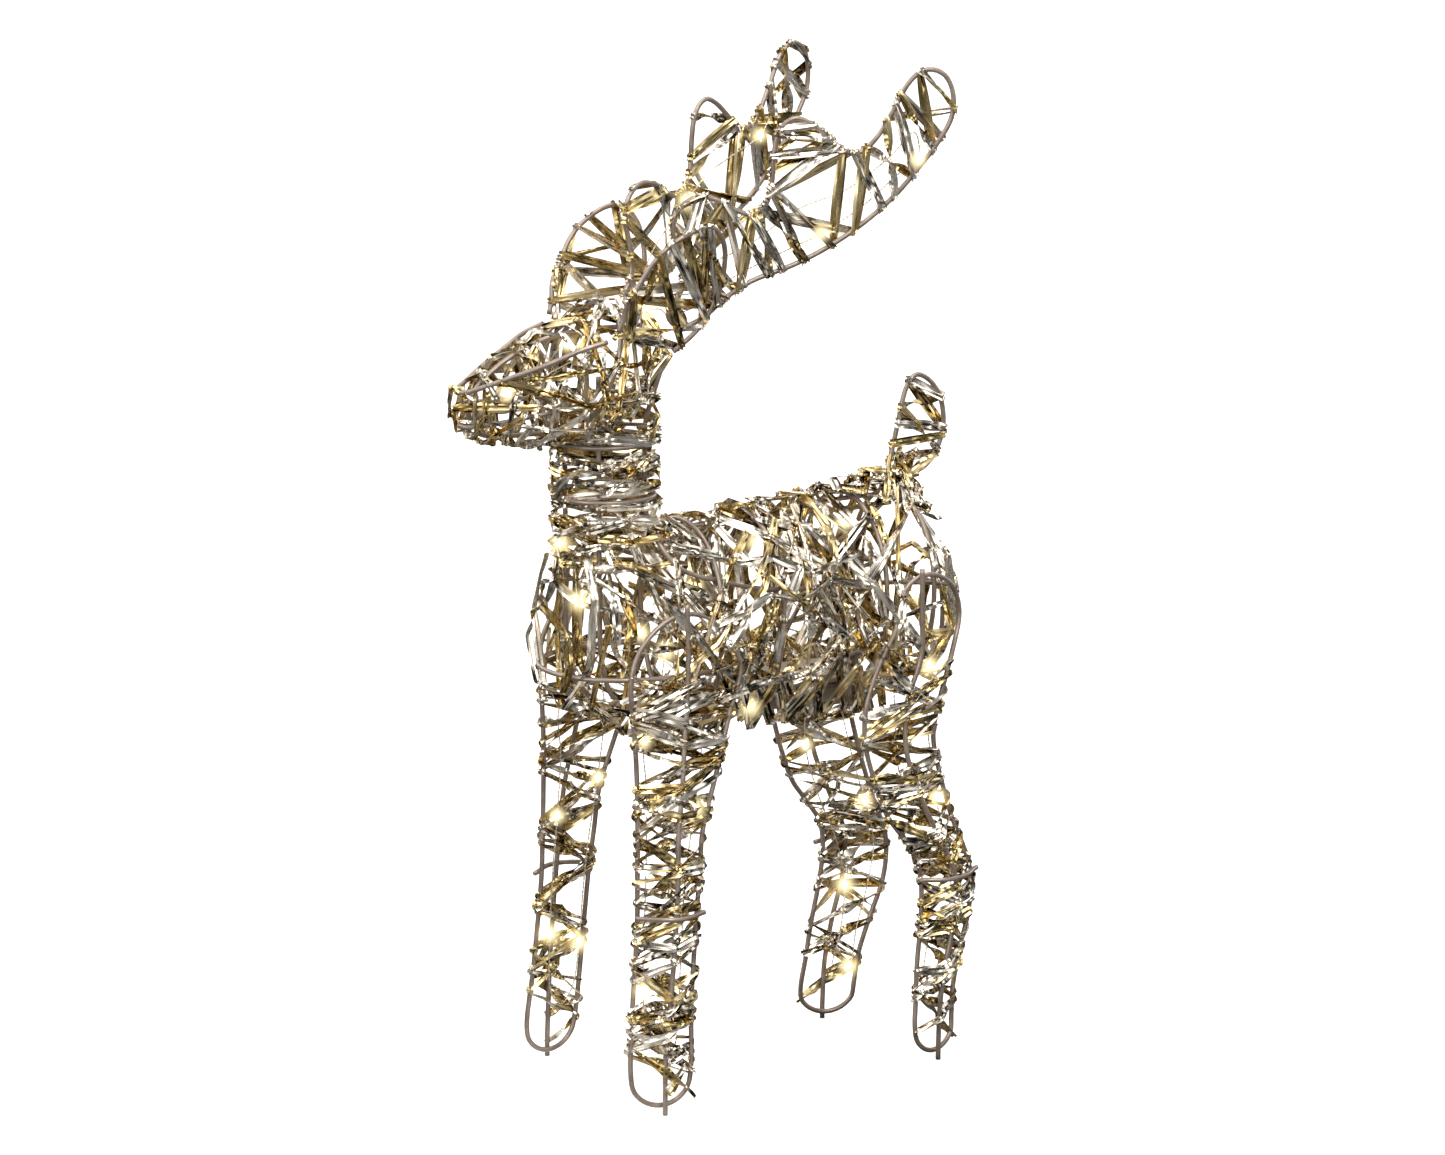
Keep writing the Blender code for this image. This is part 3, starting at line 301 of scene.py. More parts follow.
EAR = (
    (40.6, -106.5, 455.5), (42, -104, 464), (44.5, -102, 474), (47, -96, 484), (50, -86, 499),
    (52, -74, 508), (53, -61, 513.5), (52.6, -50.5, 513.5), (50, -42.5, 504), (46.5, -40, 490),
    (42.5, -42.5, 472), (39, -53, 454), (36.5, -68, 441.5))
# Left halves of wires that cross the middle plane: x, y, z
MUZZLE_TOP = (
    (38.0, -112, 451), (34.5, -127, 447), (28.5, -144, 440), (20.5, -161, 433.5),
    (12, -176, 427.5), (6.5, -185.5, 424), (0, -188.5, 423))
JAW = (
    (26, -102, 394.5), (25.3, -111, 404), (25.2, -121, 410.5), (23.5, -137, 410.5),
    (18.5, -153, 408.5), (12.5, -168, 405.5), (6.5, -182, 403.5), (0, -187, 403.5))
SKULL = ((27, -71, 440), (19, -68.5, 447), (0, -67, 451.5))
# Left half of the chest ring: x, y
CHEST = (
    (46.5, -45.0), (49.5, -60), (49.3, -77), (46, -97), (40, -109), (30, -120.5), (16, -128),
    (0, -130.5))


def turns(sides):
    return np.linspace(0, TAU, sides, endpoint=False)


def body_hoop(y, half, top, bottom):
    path = []
    for angle in turns(96):
        high = top - BODY_MID_Z if math.cos(angle) > 0 else BODY_MID_Z - bottom
        path.append((half * math.sin(angle), y, BODY_MID_Z + high * math.cos(angle)))
    return np.array(path)


def neck_ring(z):
    path = []
    for angle in turns(72):
        path.append((NECK_RING_R * math.sin(angle), NECK_Y - NECK_RING_R * math.cos(angle), z))
    return np.array(path)


def head_hoop():
    """Slanted oval: the centre is (0, -108, 429.5) and the reaches are 36.5, 16 and 37.5."""
    path = []
    for angle in turns(96):
        rise = math.cos(angle)
        path.append((36.5 * math.sin(angle), -108 + 16 * rise, 429.5 + 37.5 * rise))
    return np.array(path)


def both_sides(half):
    return smooth(list(half) + [(-x, y, z) for x, y, z in half[-2::-1]])


def wires():
    """Centreline of each wire, and whether it is closed, by the name of its CAD node."""
    found = {}
    antler = smooth([(ANTLER_X0 + ANTLER_SPLAY * y, y, z) for y, z in ANTLER], closed=True, per=6)
    for side, sign in SIDES.items():
        for leg in (FRONT, REAR):
            name = f"{leg.name}_{side}"
            found[f"{name}_leg_loop"] = (leg_on_side(leg_loop(leg), leg, sign), True)
            found[f"{name}_leg_spine"] = (leg_on_side(leg_spine(leg), leg, sign), False)
            found[f"{name}_{leg.brace}_brace"] = (leg_on_side(leg_brace(leg), leg, sign), False)
        found[f"flank_rail_{side}"] = (on_side(smooth(FLANK), sign), False)
        found[f"belly_rail_{side}"] = (on_side(smooth(BELLY), sign), False)
        found[f"ear_wire_{side}"] = (on_side(smooth(EAR), sign), False)
        found[f"antler_wire_{side}"] = (on_side(antler, sign), True)
    found["topline_wire"] = (smooth([(0, y, z) for y, z in SPINE]), False)
    found["chest_ring"] = (both_sides([(x, y, CHEST_RING_Z) for x, y in CHEST]), False)
    for name, sizes in HOOPS.items():
        found[name] = (body_hoop(*sizes), True)
    found["neck_ring_lower"] = (neck_ring(355), True)
    found["neck_ring_upper"] = (neck_ring(387), True)
    found["head_hoop"] = (head_hoop(), True)
    found["muzzle_wire"] = (both_sides(MUZZLE_TOP), False)
    found["jaw_wire"] = (both_sides(JAW), False)
    found["nose_bridge_wire"] = (smooth([(0, y, z) for y, z in BRIDGE]), False)
    found["skull_arch"] = (both_sides(SKULL), False)
    found["tail_wire"] = (smooth([(0, y, z) for y, z in TAIL], closed=True), True)
    return found


# ---------------------------------------------------------------- meshes
def new_object(name, data):
    obj = bpy.data.objects.new(name, data)
    bpy.context.scene.collection.objects.link(obj)
    return obj


def new_mesh(name, verts, quads, materials, material_index=None, sharp=None):
    """Smooth-shaded mesh that rides on the deer. sharp tells from vertex pairs which are creases."""
    data = bpy.data.meshes.new(name)
    verts = world(verts).astype(np.float32)
    data.vertices.add(len(verts))
    data.vertices.foreach_set("co", verts.ravel())
    data.loops.add(quads.size)
    data.loops.foreach_set("vertex_index", quads.astype(np.int32).ravel())
    data.polygons.add(len(quads))
    data.polygons.foreach_set("loop_start", np.arange(0, quads.size, 4, dtype=np.int32))
    data.update(calc_edges=True)
    data.validate()
    data.polygons.foreach_set("use_smooth", np.full(len(data.polygons), True))
    for material in materials:
        data.materials.append(material)
    if material_index is not None:
        data.polygons.foreach_set("material_index", np.asarray(material_index, np.int32))
    if sharp is not None:
        pairs = np.empty(len(data.edges) * 2, np.int32)
        data.edges.foreach_get("vertices", pairs)
        kept = data.attributes.get("sharp_edge")
        attribute = kept or data.attributes.new("sharp_edge", "BOOLEAN", "EDGE")
        attribute.data.foreach_set("value", sharp(pairs.reshape(-1, 2)))
    data.update()
    obj = new_object(name, data)
    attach(obj, "deer")
    return obj


def merged(parts):
    """One vertex array and one face array from several."""
    verts, faces, count = [], [], 0
    for part_verts, part_faces in parts:
        verts.append(part_verts)
        faces.append(part_faces + count)
        count += len(part_verts)
    return np.vstack(verts), np.vstack(faces)


def frames(path, closed=False):
    """Tangents and two rotation-minimising normals along a path."""
    if closed:
        tangent = np.roll(path, -1, 0) - np.roll(path, 1, 0)
    else:
        tangent = np.gradient(path, axis=0)
    tangent /= np.linalg.norm(tangent, axis=1)[:, None]
    normal = np.zeros_like(path)
    first = np.cross(tangent[0], (0, 0, 1) if abs(tangent[0][2]) < 0.9 else (1, 0, 0))
    normal[0] = first / np.linalg.norm(first)
    for i in range(1, len(path)):
        carried = normal[i - 1] - tangent[i] * (normal[i - 1] @ tangent[i])
        normal[i] = carried / np.linalg.norm(carried)
    if closed:  # spread the twist left over at the seam
        carried = normal[-1] - tangent[0] * (normal[-1] @ tangent[0])
        carried /= np.linalg.norm(carried)
        gap = math.atan2(np.cross(carried, normal[0]) @ tangent[0], carried @ normal[0])
        angle = gap * np.arange(len(path))[:, None] / len(path)
        normal = normal * np.cos(angle) + np.cross(tangent, normal) * np.sin(angle)
    return tangent, normal, np.cross(tangent, normal)


def tube(path, radius, sides=12, closed=False):
    """Vertices and quads of a round tube; radius is one value or one per point."""
    _, normal, other = frames(path, closed)
    angle = turns(sides)
    rows = len(path)
    radius = np.broadcast_to(np.asarray(radius, float), (rows,))
    around = np.cos(angle)[None, :, None] * normal[:, None]
    around = around + np.sin(angle)[None, :, None] * other[:, None]
    verts = (path[:, None] + radius[:, None, None] * around).reshape(-1, 3)
    i = np.arange(rows if closed else rows - 1)[:, None]
    j = np.arange(sides)[None, :]
    k = (j + 1) % sides
    here, after = i * sides, (i + 1) % rows * sides
    faces = np.stack([here + j, here + k, after + k, after + j], -1).reshape(-1, 4)
    if not closed:  # each end is filled with a ladder of quads
        caps = []
        for base, flip in ((0, True), ((rows - 1) * sides, False)):
            for j in range(sides // 2 - 1):
                quad = [base + j, base + j + 1, base + sides - 2 - j, base + sides - 1 - j]
                caps.append(quad[::-1] if flip else quad)
        faces = np.vstack([faces, caps])
    return verts, faces


# ---------------------------------------------------------------- shader helpers
def new_material(name):
    material = bpy.data.materials.new(name)
    material.use_nodes = True
    tree = material.node_tree
    return material, tree, tree.nodes["Principled BSDF"]


def add(tree, kind, **values):
    """New node; each value goes to the input of that name, or else to the property."""
    node = tree.nodes.new(kind)
    for key, value in values.items():
        if key in node.inputs:
            node.inputs[key].default_value = value
        else:
            setattr(node, key, value)
    return node


def set_inputs(node, values):
    for key, value in values.items():
        node.inputs[key].default_value = value


def noise(tree, scale, detail=3.0, rough=0.55, coords=None):
    node = add(tree, "ShaderNodeTexNoise", Scale=scale, Detail=detail, Roughness=rough)
    if coords is None:
        source = tree.nodes.get("coords") or add(tree, "ShaderNodeTexCoord")
        source.name = "coords"
        coords = source.outputs["Object"]
    tree.links.new(coords, node.inputs["Vector"])
    return node.outputs["Fac"]


def ramp(tree, fac, stops):
    """Colour ramp; stops are (position, colour)."""
    node = add(tree, "ShaderNodeValToRGB")
    while len(node.color_ramp.elements) < len(stops):
        node.color_ramp.elements.new(0.5)
    for element, (position, colour) in zip(node.color_ramp.elements, stops):
        element.position = position
        element.color = (*colour, 1)
    tree.links.new(fac, node.inputs["Fac"])
    return node.outputs["Color"]


def mottle(tree, socket, scale, detail, stops):
    """Feeds a socket from noise through a colour ramp."""
    tree.links.new(ramp(tree, noise(tree, scale, detail), stops), socket)


def bump(tree, bsdf, height, strength, distance):
    node = add(tree, "ShaderNodeBump", Strength=strength, Distance=distance)
    tree.links.new(height, node.inputs["Height"])
    tree.links.new(node.outputs["Normal"], bsdf.inputs["Normal"])


def maths(tree, operation, *values):
    node = add(tree, "ShaderNodeMath", operation=operation)
    for socket, value in zip(node.inputs, values):
        if isinstance(value, (int, float)):
            socket.default_value = value
        else:
            tree.links.new(value, socket)
    return node.outputs[0]


def camera_mix(tree, elsewhere, to_camera):
    """One shader for camera rays and another for all other rays."""
    ray = add(tree, "ShaderNodeLightPath")
    mix = add(tree, "ShaderNodeMixShader")
    tree.links.new(ray.outputs["Is Camera Ray"], mix.inputs["Fac"])
    tree.links.new(elsewhere, mix.inputs[1])
    tree.links.new(to_camera, mix.inputs[2])
    return mix.outputs[0]


def grey(level):
    return (level, level, level)


# ---------------------------------------------------------------- wire and tape materials
def wire_material():
    material, tree, bsdf = new_material("painted_steel_wire")
    mottle(tree, bsdf.inputs["Base Color"], scale=90, detail=4, stops=[
        (0.3, (0.21, 0.160, 0.130)), (0.55, (0.31, 0.248, 0.205)), (0.8, (0.41, 0.345, 0.295))])
    mottle(tree, bsdf.inputs["Roughness"], scale=400, detail=3,
           stops=[(0.3, grey(0.26)), (0.7, grey(0.44))])
    set_inputs(bsdf, {"Metallic": 0.55, "Coat Weight": 0.35, "Coat Roughness": 0.22})
    bump(tree, bsdf, noise(tree, scale=900), strength=0.12, distance=0.0003)
    return material


def tape_material(name, low, mid, high, rough):
    """Metallised film with painted reflections: light and dark streaks and shine run along the strip,
    and the painted reflection tone drifts between strips.
    """
    material, tree, bsdf = new_material(name)
    strip = add(tree, "ShaderNodeAttribute", attribute_name="strip")

    def strip_noise(stretch, detail, rough):
        scaled = add(tree, "ShaderNodeVectorMath", operation="MULTIPLY")
        tree.links.new(strip.outputs["Vector"], scaled.inputs[0])
        scaled.inputs[1].default_value = stretch  # along, across, from strip to strip
        return noise(tree, 1.0, detail, rough, scaled.outputs[0])

    streaks = strip_noise(stretch=(0.04, 0.5, 40.0), detail=2.5, rough=0.6)
    drift = strip_noise(stretch=(0.03, 0.12, 25.0), detail=1.5, rough=0.5)
    streak_share = 0.35
    # painted reflections: the base colour runs from a dark copy of low, standing for mirrored dark
    # surroundings, up to high for painted highlights
    painted_light_tint = maths(tree, "MULTIPLY_ADD", streaks, streak_share, drift)
    painted_dark_reflection = tuple(0.42 * level for level in low)
    colour = ramp(tree, painted_light_tint, [(0.47, painted_dark_reflection), (0.565, low), (0.68, mid), (0.86, high)])
    tree.links.new(colour, bsdf.inputs["Base Color"])
    set_inputs(bsdf, {"Metallic": 1.0})
    shine = [(0.36, grey(rough * 0.55)), (0.52, grey(rough)), (0.66, grey(rough * 2.1))]
    tree.links.new(ramp(tree, drift, shine), bsdf.inputs["Roughness"])
    bump(tree, bsdf, streaks, strength=0.30, distance=0.0005)
    return material


WIRE = wire_material()
SILVER = tape_material(
    "metallised_tape_face",
    low=(0.60, 0.545, 0.46), mid=(0.76, 0.70, 0.61), high=(0.88, 0.83, 0.75), rough=0.15)
# the back face is coloured gold: painted warm LED light on the inner faces of the tape
PAINTED_GLOW_GOLD = tape_material(
    "metallised_tape_back",
    low=(0.46, 0.345, 0.155), mid=(0.64, 0.505, 0.26), high=(0.78, 0.66, 0.40), rough=0.16)


# ---------------------------------------------------------------- metallised tape
TAPE_COLS = 5  # lines of vertices across a strip
TAPE_STEP = 2.0
TAPE_HALF_THICK = 0.05
TAPE_SHORTEST = 6
CRINKLE = 0.13
FOLD_PITCH = 36  # the pattern of folds changes over about this length
ROUGH_PITCH = 9  # and the amount of crumple over this one


def round_bends(centres, normals, radii):
    """Points round each bend, their outward directions and the number of their bend."""
    points, outward, bends = [], [], []
    for i in range(len(centres)):
        into = unit(centres[i] - centres[i - 1] if i else centres[1] - centres[0])
        last = i + 1 == len(centres)
        away = unit(centres[i] - centres[i - 1] if last else centres[i + 1] - centres[i])
        start = unit(normals[i] - into * (normals[i] @ into))
        end = unit(normals[i] - away * (normals[i] @ away))
        bend = math.acos(float(np.clip(start @ end, -1, 1)))
        for t in np.linspace(0, 1, max(2, int(bend / 0.5) + 1)):
            direction = unit(start * (1 - t) + end * t)
            points.append(centres[i] + direction * radii[i])
            outward.append(direction)
            bends.append(i)
    return np.array(points), np.array(outward), np.array(bends)


def tape_stations(lengths):
    """Lengths along a strip, about TAPE_STEP apart, with one at each given length."""
    along = [0.0]
    for start, end in zip(lengths[:-1], lengths[1:]):
        parts = max(1, int(round((end - start) / TAPE_STEP)))
        along += list(start + (end - start) * np.arange(1, parts + 1) / parts)
    return np.unique(np.round(along, 4))


def strip_quads(rows, first):
    """Quads of a strip whose vertices start at first, and their material numbers."""

    def quads(*corners):
        numbers = [first + (row * 2 + layer) * TAPE_COLS + col for row, layer, col in corners]
        return np.stack(numbers, -1).reshape(-1, 4)

    i = np.arange(rows - 1)[:, None]
    k = np.arange(TAPE_COLS - 1)[None, :]
    upper = quads((i, 0, k), (i, 0, k + 1), (i + 1, 0, k + 1), (i + 1, 0, k))
    lower = quads((i, 1, k), (i + 1, 1, k), (i + 1, 1, k + 1), (i, 1, k + 1))
    j, edge = np.arange(rows - 1), TAPE_COLS - 1
    near_edge = quads((j, 0, 0), (j + 1, 0, 0), (j + 1, 1, 0), (j, 1, 0))
    far_edge = quads((j, 0, edge), (j, 1, edge), (j + 1, 1, edge), (j + 1, 0, edge))
    j, end = np.arange(TAPE_COLS - 1), rows - 1
    near_end = quads((0, 0, j), (0, 1, j), (0, 1, j + 1), (0, 0, j + 1))
    far_end = quads((end, 0, j), (end, 0, j + 1), (end, 1, j + 1), (end, 1, j))
    faces = np.vstack([upper, lower, near_edge, far_edge, near_end, far_end])
    material = np.zeros(len(faces), int)
    # the lower faces take material 1, the gold back with its painted LED glow
    material[len(upper) : len(upper) + len(lower)] = 1
    return faces, material


class Tape:
    """Collects strips of crinkled tape and makes one object of them."""

    def __init__(self, name, seed, cad_node):
        self.name, self.cad_node = name, cad_node
        self.rng = np.random.default_rng(seed)
        self.verts, self.faces, self.material = [], [], []
        self.strip, self.row, self.creased = [], [], []
        self.rows = 0

    def wind(self, centres, normals, radius, width, flat, pinch=(0.36, 0.78), narrow=0.3):
        """A strip that bends round a rod or support at each centre, with straight runs between.

        normals point to the outer side of each bend and radius is one value or one per bend.
        flat is the share of spans that neither turn over nor lean, pinch the range of widths at
        the bends, and narrow the share of spans that are gathered in the middle."""
        centres, normals = np.asarray(centres, float), np.asarray(normals, float)
        if len(centres) < 2:
            return
        radii = np.broadcast_to(radius, (len(centres),))
        points, outward, bends = round_bends(centres, normals, radii)
        lengths = path_lengths(points)
        if lengths[-1] < TAPE_SHORTEST:
            return
        along = tape_stations(lengths)
        middle = at_lengths(along, lengths, points)
        face = at_lengths(along, lengths, outward)
        knots = np.array([lengths[bends == i].mean() for i in range(len(centres))])
        phase = np.interp(along, knots, np.arange(len(centres)))
        roll, gather, bow = self.shape_spans(centres, phase, flat, pinch, narrow)

        tangent = np.gradient(middle, axis=0)
        tangent /= np.linalg.norm(tangent, axis=1)[:, None] + 1e-9
        face -= tangent * (face * tangent).sum(1)[:, None]
        face /= np.linalg.norm(face, axis=1)[:, None] + 1e-9
        side = np.cross(face, tangent)
        middle = middle + face * bow[:, None]
        cos, sin = np.cos(roll)[:, None], np.sin(roll)[:, None]
        side, face = side * cos + face * sin, face * cos - side * sin

        height, across, lag = self.crumple(along, lengths[-1], width, gather)
        sheet = middle[:, None] + side[:, None] * across[..., None]
        sheet = sheet + face[:, None] * height[..., None] + tangent[:, None] * lag[..., None]
        skin = face[:, None] * TAPE_HALF_THICK
        self.add_strip(np.stack([sheet + skin, sheet - skin], 1), along, width)

    def shape_spans(self, centres, phase, flat, pinch, narrow):
        """Roll angle, share of the width and outward bow at each station."""
        rng = self.rng
        spans = len(centres) - 1
        span = np.clip(phase.astype(int), 0, spans - 1)
        t = phase - span
        swell = np.sin(math.pi * t)
        long = np.linalg.norm(np.diff(centres, axis=0), axis=1)
        kind = rng.random(spans)
        turns_over = (kind > flat) & (kind < flat + 0.22) & (long > 16)
        turn = np.where(turns_over, math.pi * rng.choice([-1, 1], spans), 0.0)
        lean = np.where(
            kind >= flat + 0.22,
            rng.uniform(0.5, 1.35, spans) * rng.choice([-1, 1], spans),
            rng.normal(0, 0.16, spans))
        base = np.r_[0, np.cumsum(turn)]
        ease = t * t * (3 - 2 * t)
        roll = base[span] + turn[span] * ease + lean[span] * swell ** 1.5
        at_knot = rng.uniform(*pinch, len(centres))
        at_mid = np.where(
            rng.random(spans) < narrow,
            rng.uniform(0.3, 0.6, spans), rng.uniform(0.88, 0.99, spans))
        gather = (at_knot[span] * (1 - t) + at_knot[span + 1] * t) * (1 - swell ** 0.8)
        gather = gather + at_mid[span] * swell ** 0.8
        return roll, gather, rng.normal(0, 0.5, spans)[span] * swell

    def crumple(self, along, total, width, gather):
        """Height, place across and slip along the strip for each vertex of its sheet."""
        rng = self.rng
        rows = len(along)
        # folds, drifting along the strip
        marks = max(2, int(total / FOLD_PITCH) + 1)
        pattern = rng.uniform(0.15, 1, (marks, TAPE_COLS))
        pattern[:, 1::2] *= -1
        pattern *= rng.choice([-1, 1], (marks, 1))
        where = along / total * (marks - 1)
        mark = np.clip(where.astype(int), 0, marks - 2)
        mix = 0.5 - 0.5 * np.cos(math.pi * (where - mark))[:, None]
        folds = pattern[mark] * (1 - mix) + pattern[mark + 1] * mix
        tall = width / 4 * np.sqrt(np.clip(1 - gather ** 2, 0, 1)) * 0.95
        levels = np.clip(rng.normal(0.3, 0.6, int(total / ROUGH_PITCH) + 2), 0.1, 1.6)
        stops = np.arange(0, total + ROUGH_PITCH, ROUGH_PITCH)
        rough = np.interp(along, stops, levels)[:, None]
        # creases: facets some millimetres long, and a trace of fine crumple
        facets = np.r_[0, np.cumsum(rng.uniform(8, 30, int(total / 8) + 3))]
        dents = rng.normal(0, 1.7 * CRINKLE, (len(facets), TAPE_COLS))
        creases = at_lengths(along, facets, dents)
        height = folds * tall[:, None] + creases * np.clip(rough, 0.35, 1)
        height = height + rng.normal(0, 0.1 * CRINKLE, (rows, TAPE_COLS)) * rough
        # small nicks and slants along the edges
        across = np.linspace(-0.5, 0.5, TAPE_COLS)[None, :] * (width * gather)[:, None]
        nicks = rng.normal(0, 1.4 * CRINKLE, (len(facets), TAPE_COLS))
        across = across + at_lengths(along, facets, nicks) * rough
        inner = np.arange(rows)[:, None] % (rows - 1) > 0
        lag = rng.normal(0, 0.3 * CRINKLE, (rows, TAPE_COLS)) * rough * inner
        return height, across, lag

    def add_strip(self, verts, along, width):
        """Stores vertices shaped (row, layer, column, xyz), with their places for the shader."""
        rng = self.rng
        rows = len(along)
        per_row = 2 * TAPE_COLS
        faces, material = strip_quads(rows, self.rows * per_row)
        place = np.zeros((rows, 2, TAPE_COLS, 3), np.float32)
        place[..., 0] = (along + rng.uniform(0, 5000))[:, None, None]
        place[..., 1] = (np.linspace(0, width, TAPE_COLS) + rng.uniform(0, 500))[None, None, :]
        place[..., 2] = rng.random()
        self.verts.append(verts.reshape(-1, 3))
        self.faces.append(faces)
        self.material.append(material)
        self.strip.append(place.reshape(-1, 3))
        self.row.append(np.repeat(self.rows + np.arange(rows), per_row))
        self.creased.append(np.repeat(rng.random(rows) < 0.04, per_row))
        self.rows += rows

    def build(self):
        row, creased = np.concatenate(self.row), np.concatenate(self.creased)

        def sharp(pairs):
            """Edges that run along the strip, and all edges of a creased row."""
            start, end = pairs[:, 0], pairs[:, 1]
            return (row[start] != row[end]) | creased[start]

        obj = new_mesh(self.name, np.vstack(self.verts), np.vstack(self.faces), [SILVER, PAINTED_GLOW_GOLD],
                       np.concatenate(self.material), sharp)
        strip = obj.data.attributes.new("strip", "FLOAT_VECTOR", "POINT")
        strip.data.foreach_set("vector", np.vstack(self.strip).ravel())
        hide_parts(self.cad_node)


# ---------------------------------------------------------------- tape round the legs
# Passes up or down a leg: start z, end z, turns, way round (1 or -1)
FRONT_WRAPS = (
    (14, 250, 6, 1), (252, 16, 5.5, -1), (22, 258, 5.5, -1), (250, 18, 6, 1), (28, 256, 5, 1))
REAR_WRAPS = ((14, 248, 6, 1), (250, 18, 5.5, -1), (24, 256, 5, -1), (248, 22, 5.5, 1))
HOCK_WRAPS = ((98, 172, 2.5, 1), (168, 100, 2.5, -1))
LEG_WRAPS = {
    "front_left": FRONT_WRAPS
    + ((254, 24, 4.6, -1), (12, 256, 5, 1), (9, 70, 2, 1), (150, 250, 3, -1)),
    "rear_left": REAR_WRAPS
    + ((32, 256, 4.6, 1), (252, 30, 5, -1)) + HOCK_WRAPS + ((110, 30, 2.5, -1),),
    "front_right": FRONT_WRAPS,
    "rear_right": REAR_WRAPS + HOCK_WRAPS}
LEG_TAPE_Z = (7, 262)  # the tape stays between these heights


def leg_rods(leg, sign, z):
    """Places of the front strand, spine and rear strand, and their outward directions."""
    front, rear = section_at(leg.sections, z)
    spine = leg.place((front + rear) / 2, z, spine_out(leg, z))
    rods = [leg_on_side(p, leg, sign) for p in (leg.place(front, z), spine, leg.place(rear, z))]
    middle = (rods[0] + rods[2]) / 2 * 0.8 + rods[1] * 0.2
    return rods, [unit((rod - middle) * [1, 1, 0]) for rod in rods]


def foil_leg(leg, side, sign, seed):
    name = f"{leg.name}_{side}"
    tape = Tape(f"foil_{name}_leg", seed, f"tape_{name}_leg")
    rng = tape.rng
    for start, end, wraps, way in LEG_WRAPS[name]:
        centres, normals, radii = [], [], []
        z = start
        step = (end - start) / wraps / 4
        order = [0, 1, 2, 3] if way > 0 else [2, 1, 0, 3]
        count = int(rng.integers(3))
        while (z - end) * (1 if end > start else -1) < 0:
            k = order[count % 4]
            count += 1
            z += step * (0.15 if rng.random() < 0.25 else rng.uniform(0.8, 1.8))
            level = float(np.clip(z + rng.normal(0, 1.8), *LEG_TAPE_Z))
            if k == 3:  # the inner side is one straight span
                continue
            if k == 1 and rng.random() < 0.3:
                continue
            rods, outward = leg_rods(leg, sign, level)
            centres.append(rods[k])
            normals.append(outward[k])
            radii.append(WIRE_R + 0.25 + rng.random() * 0.9)
        tape.wind(centres, normals, radii, width=rng.uniform(6.2, 7.6), flat=0.62,
                  pinch=(0.5, 0.95), narrow=0.2)
    tape.build()


# ---------------------------------------------------------------- skins the tape follows
# Sections across y: y, half width, top z, bottom z, z of the widest line
BARREL = (
    (-136.5, 2, 267, 257, 262), (-135, 11, 277, 249, 263), (-131.5, 21, 290, 239, 265),
    (-125.5, 31, 307, 230, 269), (-116, 39.5, 324, 222.5, 274), (-104, 46, 338, 218, 280),
    (-88, 50.5, 343, 211, 284), (-66, 51.5, 341, 206.5, 286), (-42, 50.6, 337, 204.5, 286),
    (-18, 49.8, 336, 207, 286), (0, 49.6, 337.5, 211.6, 286), (35, 50.2, 342, 213.5, 286),
    (70, 50.6, 347, 215.6, 286), (95, 50.2, 350, 218.5, 285), (112, 46, 345, 224, 282),
    (123, 37, 329, 230, 277), (132, 26, 308, 236, 270), (138, 14, 286, 244, 264),
    (141.5, 4, 272, 253, 262))
HEAD = (
    (-192, 1.5, 417, 409, 413), (-190.5, 6, 425, 402, 413), (-186, 12, 428, 398, 413),
    (-178, 17, 430, 395, 413), (-165, 24, 437, 392, 414), (-150, 30.5, 444, 391, 417),
    (-135, 36, 450, 389, 420), (-120, 40, 455, 388, 424), (-106, 41, 462, 389, 428),
    (-92, 40, 470, 394, 432), (-80, 35, 466, 404, 434), (-69, 29, 458, 418, 437),
    (-63, 15, 451, 432, 441))
# Sections across z: z, half width, front y, back y
NECK = np.array((
    (312, 44, -121, -48), (326, 36, -122, -53), (338, 31.5, -123, -58),
    (350, 30.5, -123.3, -61.8), (390, 30.5, -123.3, -62.5), (402, 31, -124, -62),
    (416, 33, -125, -62)), float)


def section_skin(rows, power):
    """Test for points inside rounded sections; a higher power makes them squarer."""
    rows = np.asarray(rows, float)

    def inside(points):
        y, z = points[..., 1], points[..., 2]
        half, top, low, middle = at_lengths(y, rows[:, 0], rows[:, 1:]).T
        beyond = (y < rows[0, 0]) | (y > rows[-1, 0])
        high = np.where(z > middle, top - middle, middle - low)
        value = np.abs(points[..., 0] / np.maximum(half, 0.3)) ** power
        value = value + np.abs((z - middle) / np.maximum(high, 0.3)) ** power
        return (value < 1) & ~beyond

    return inside


def inside_neck(points):
    half, front, back = at_lengths(points[..., 2], NECK[:, 0], NECK[:, 1:]).T
    middle, deep = (front + back) / 2, (back - front) / 2
    return (points[..., 0] / half) ** 2 + ((points[..., 1] - middle) / deep) ** 2 < 1


def section_points(inside, centre, normal, angles):
    """Points of the skin's cut by a plane, at these angles from the most upward direction."""
    normal = unit(normal)
    up = np.array([0, 0, 1.0]) if abs(normal[2]) < 0.9 else np.array([0, -1.0, 0])
    up = unit(up - normal * (up @ normal))
    side = np.cross(up, normal)
    rays = np.cos(angles)[:, None] * up + np.sin(angles)[:, None] * side
    near, far = np.zeros(len(rays)), np.full(len(rays), 260.0)
    for _ in range(18):
        middle = (near + far) / 2
        within = inside(np.asarray(centre) + rays * middle[:, None])
        near, far = np.where(within, middle, near), np.where(within, far, middle)
    return np.asarray(centre) + rays * near[:, None], rays


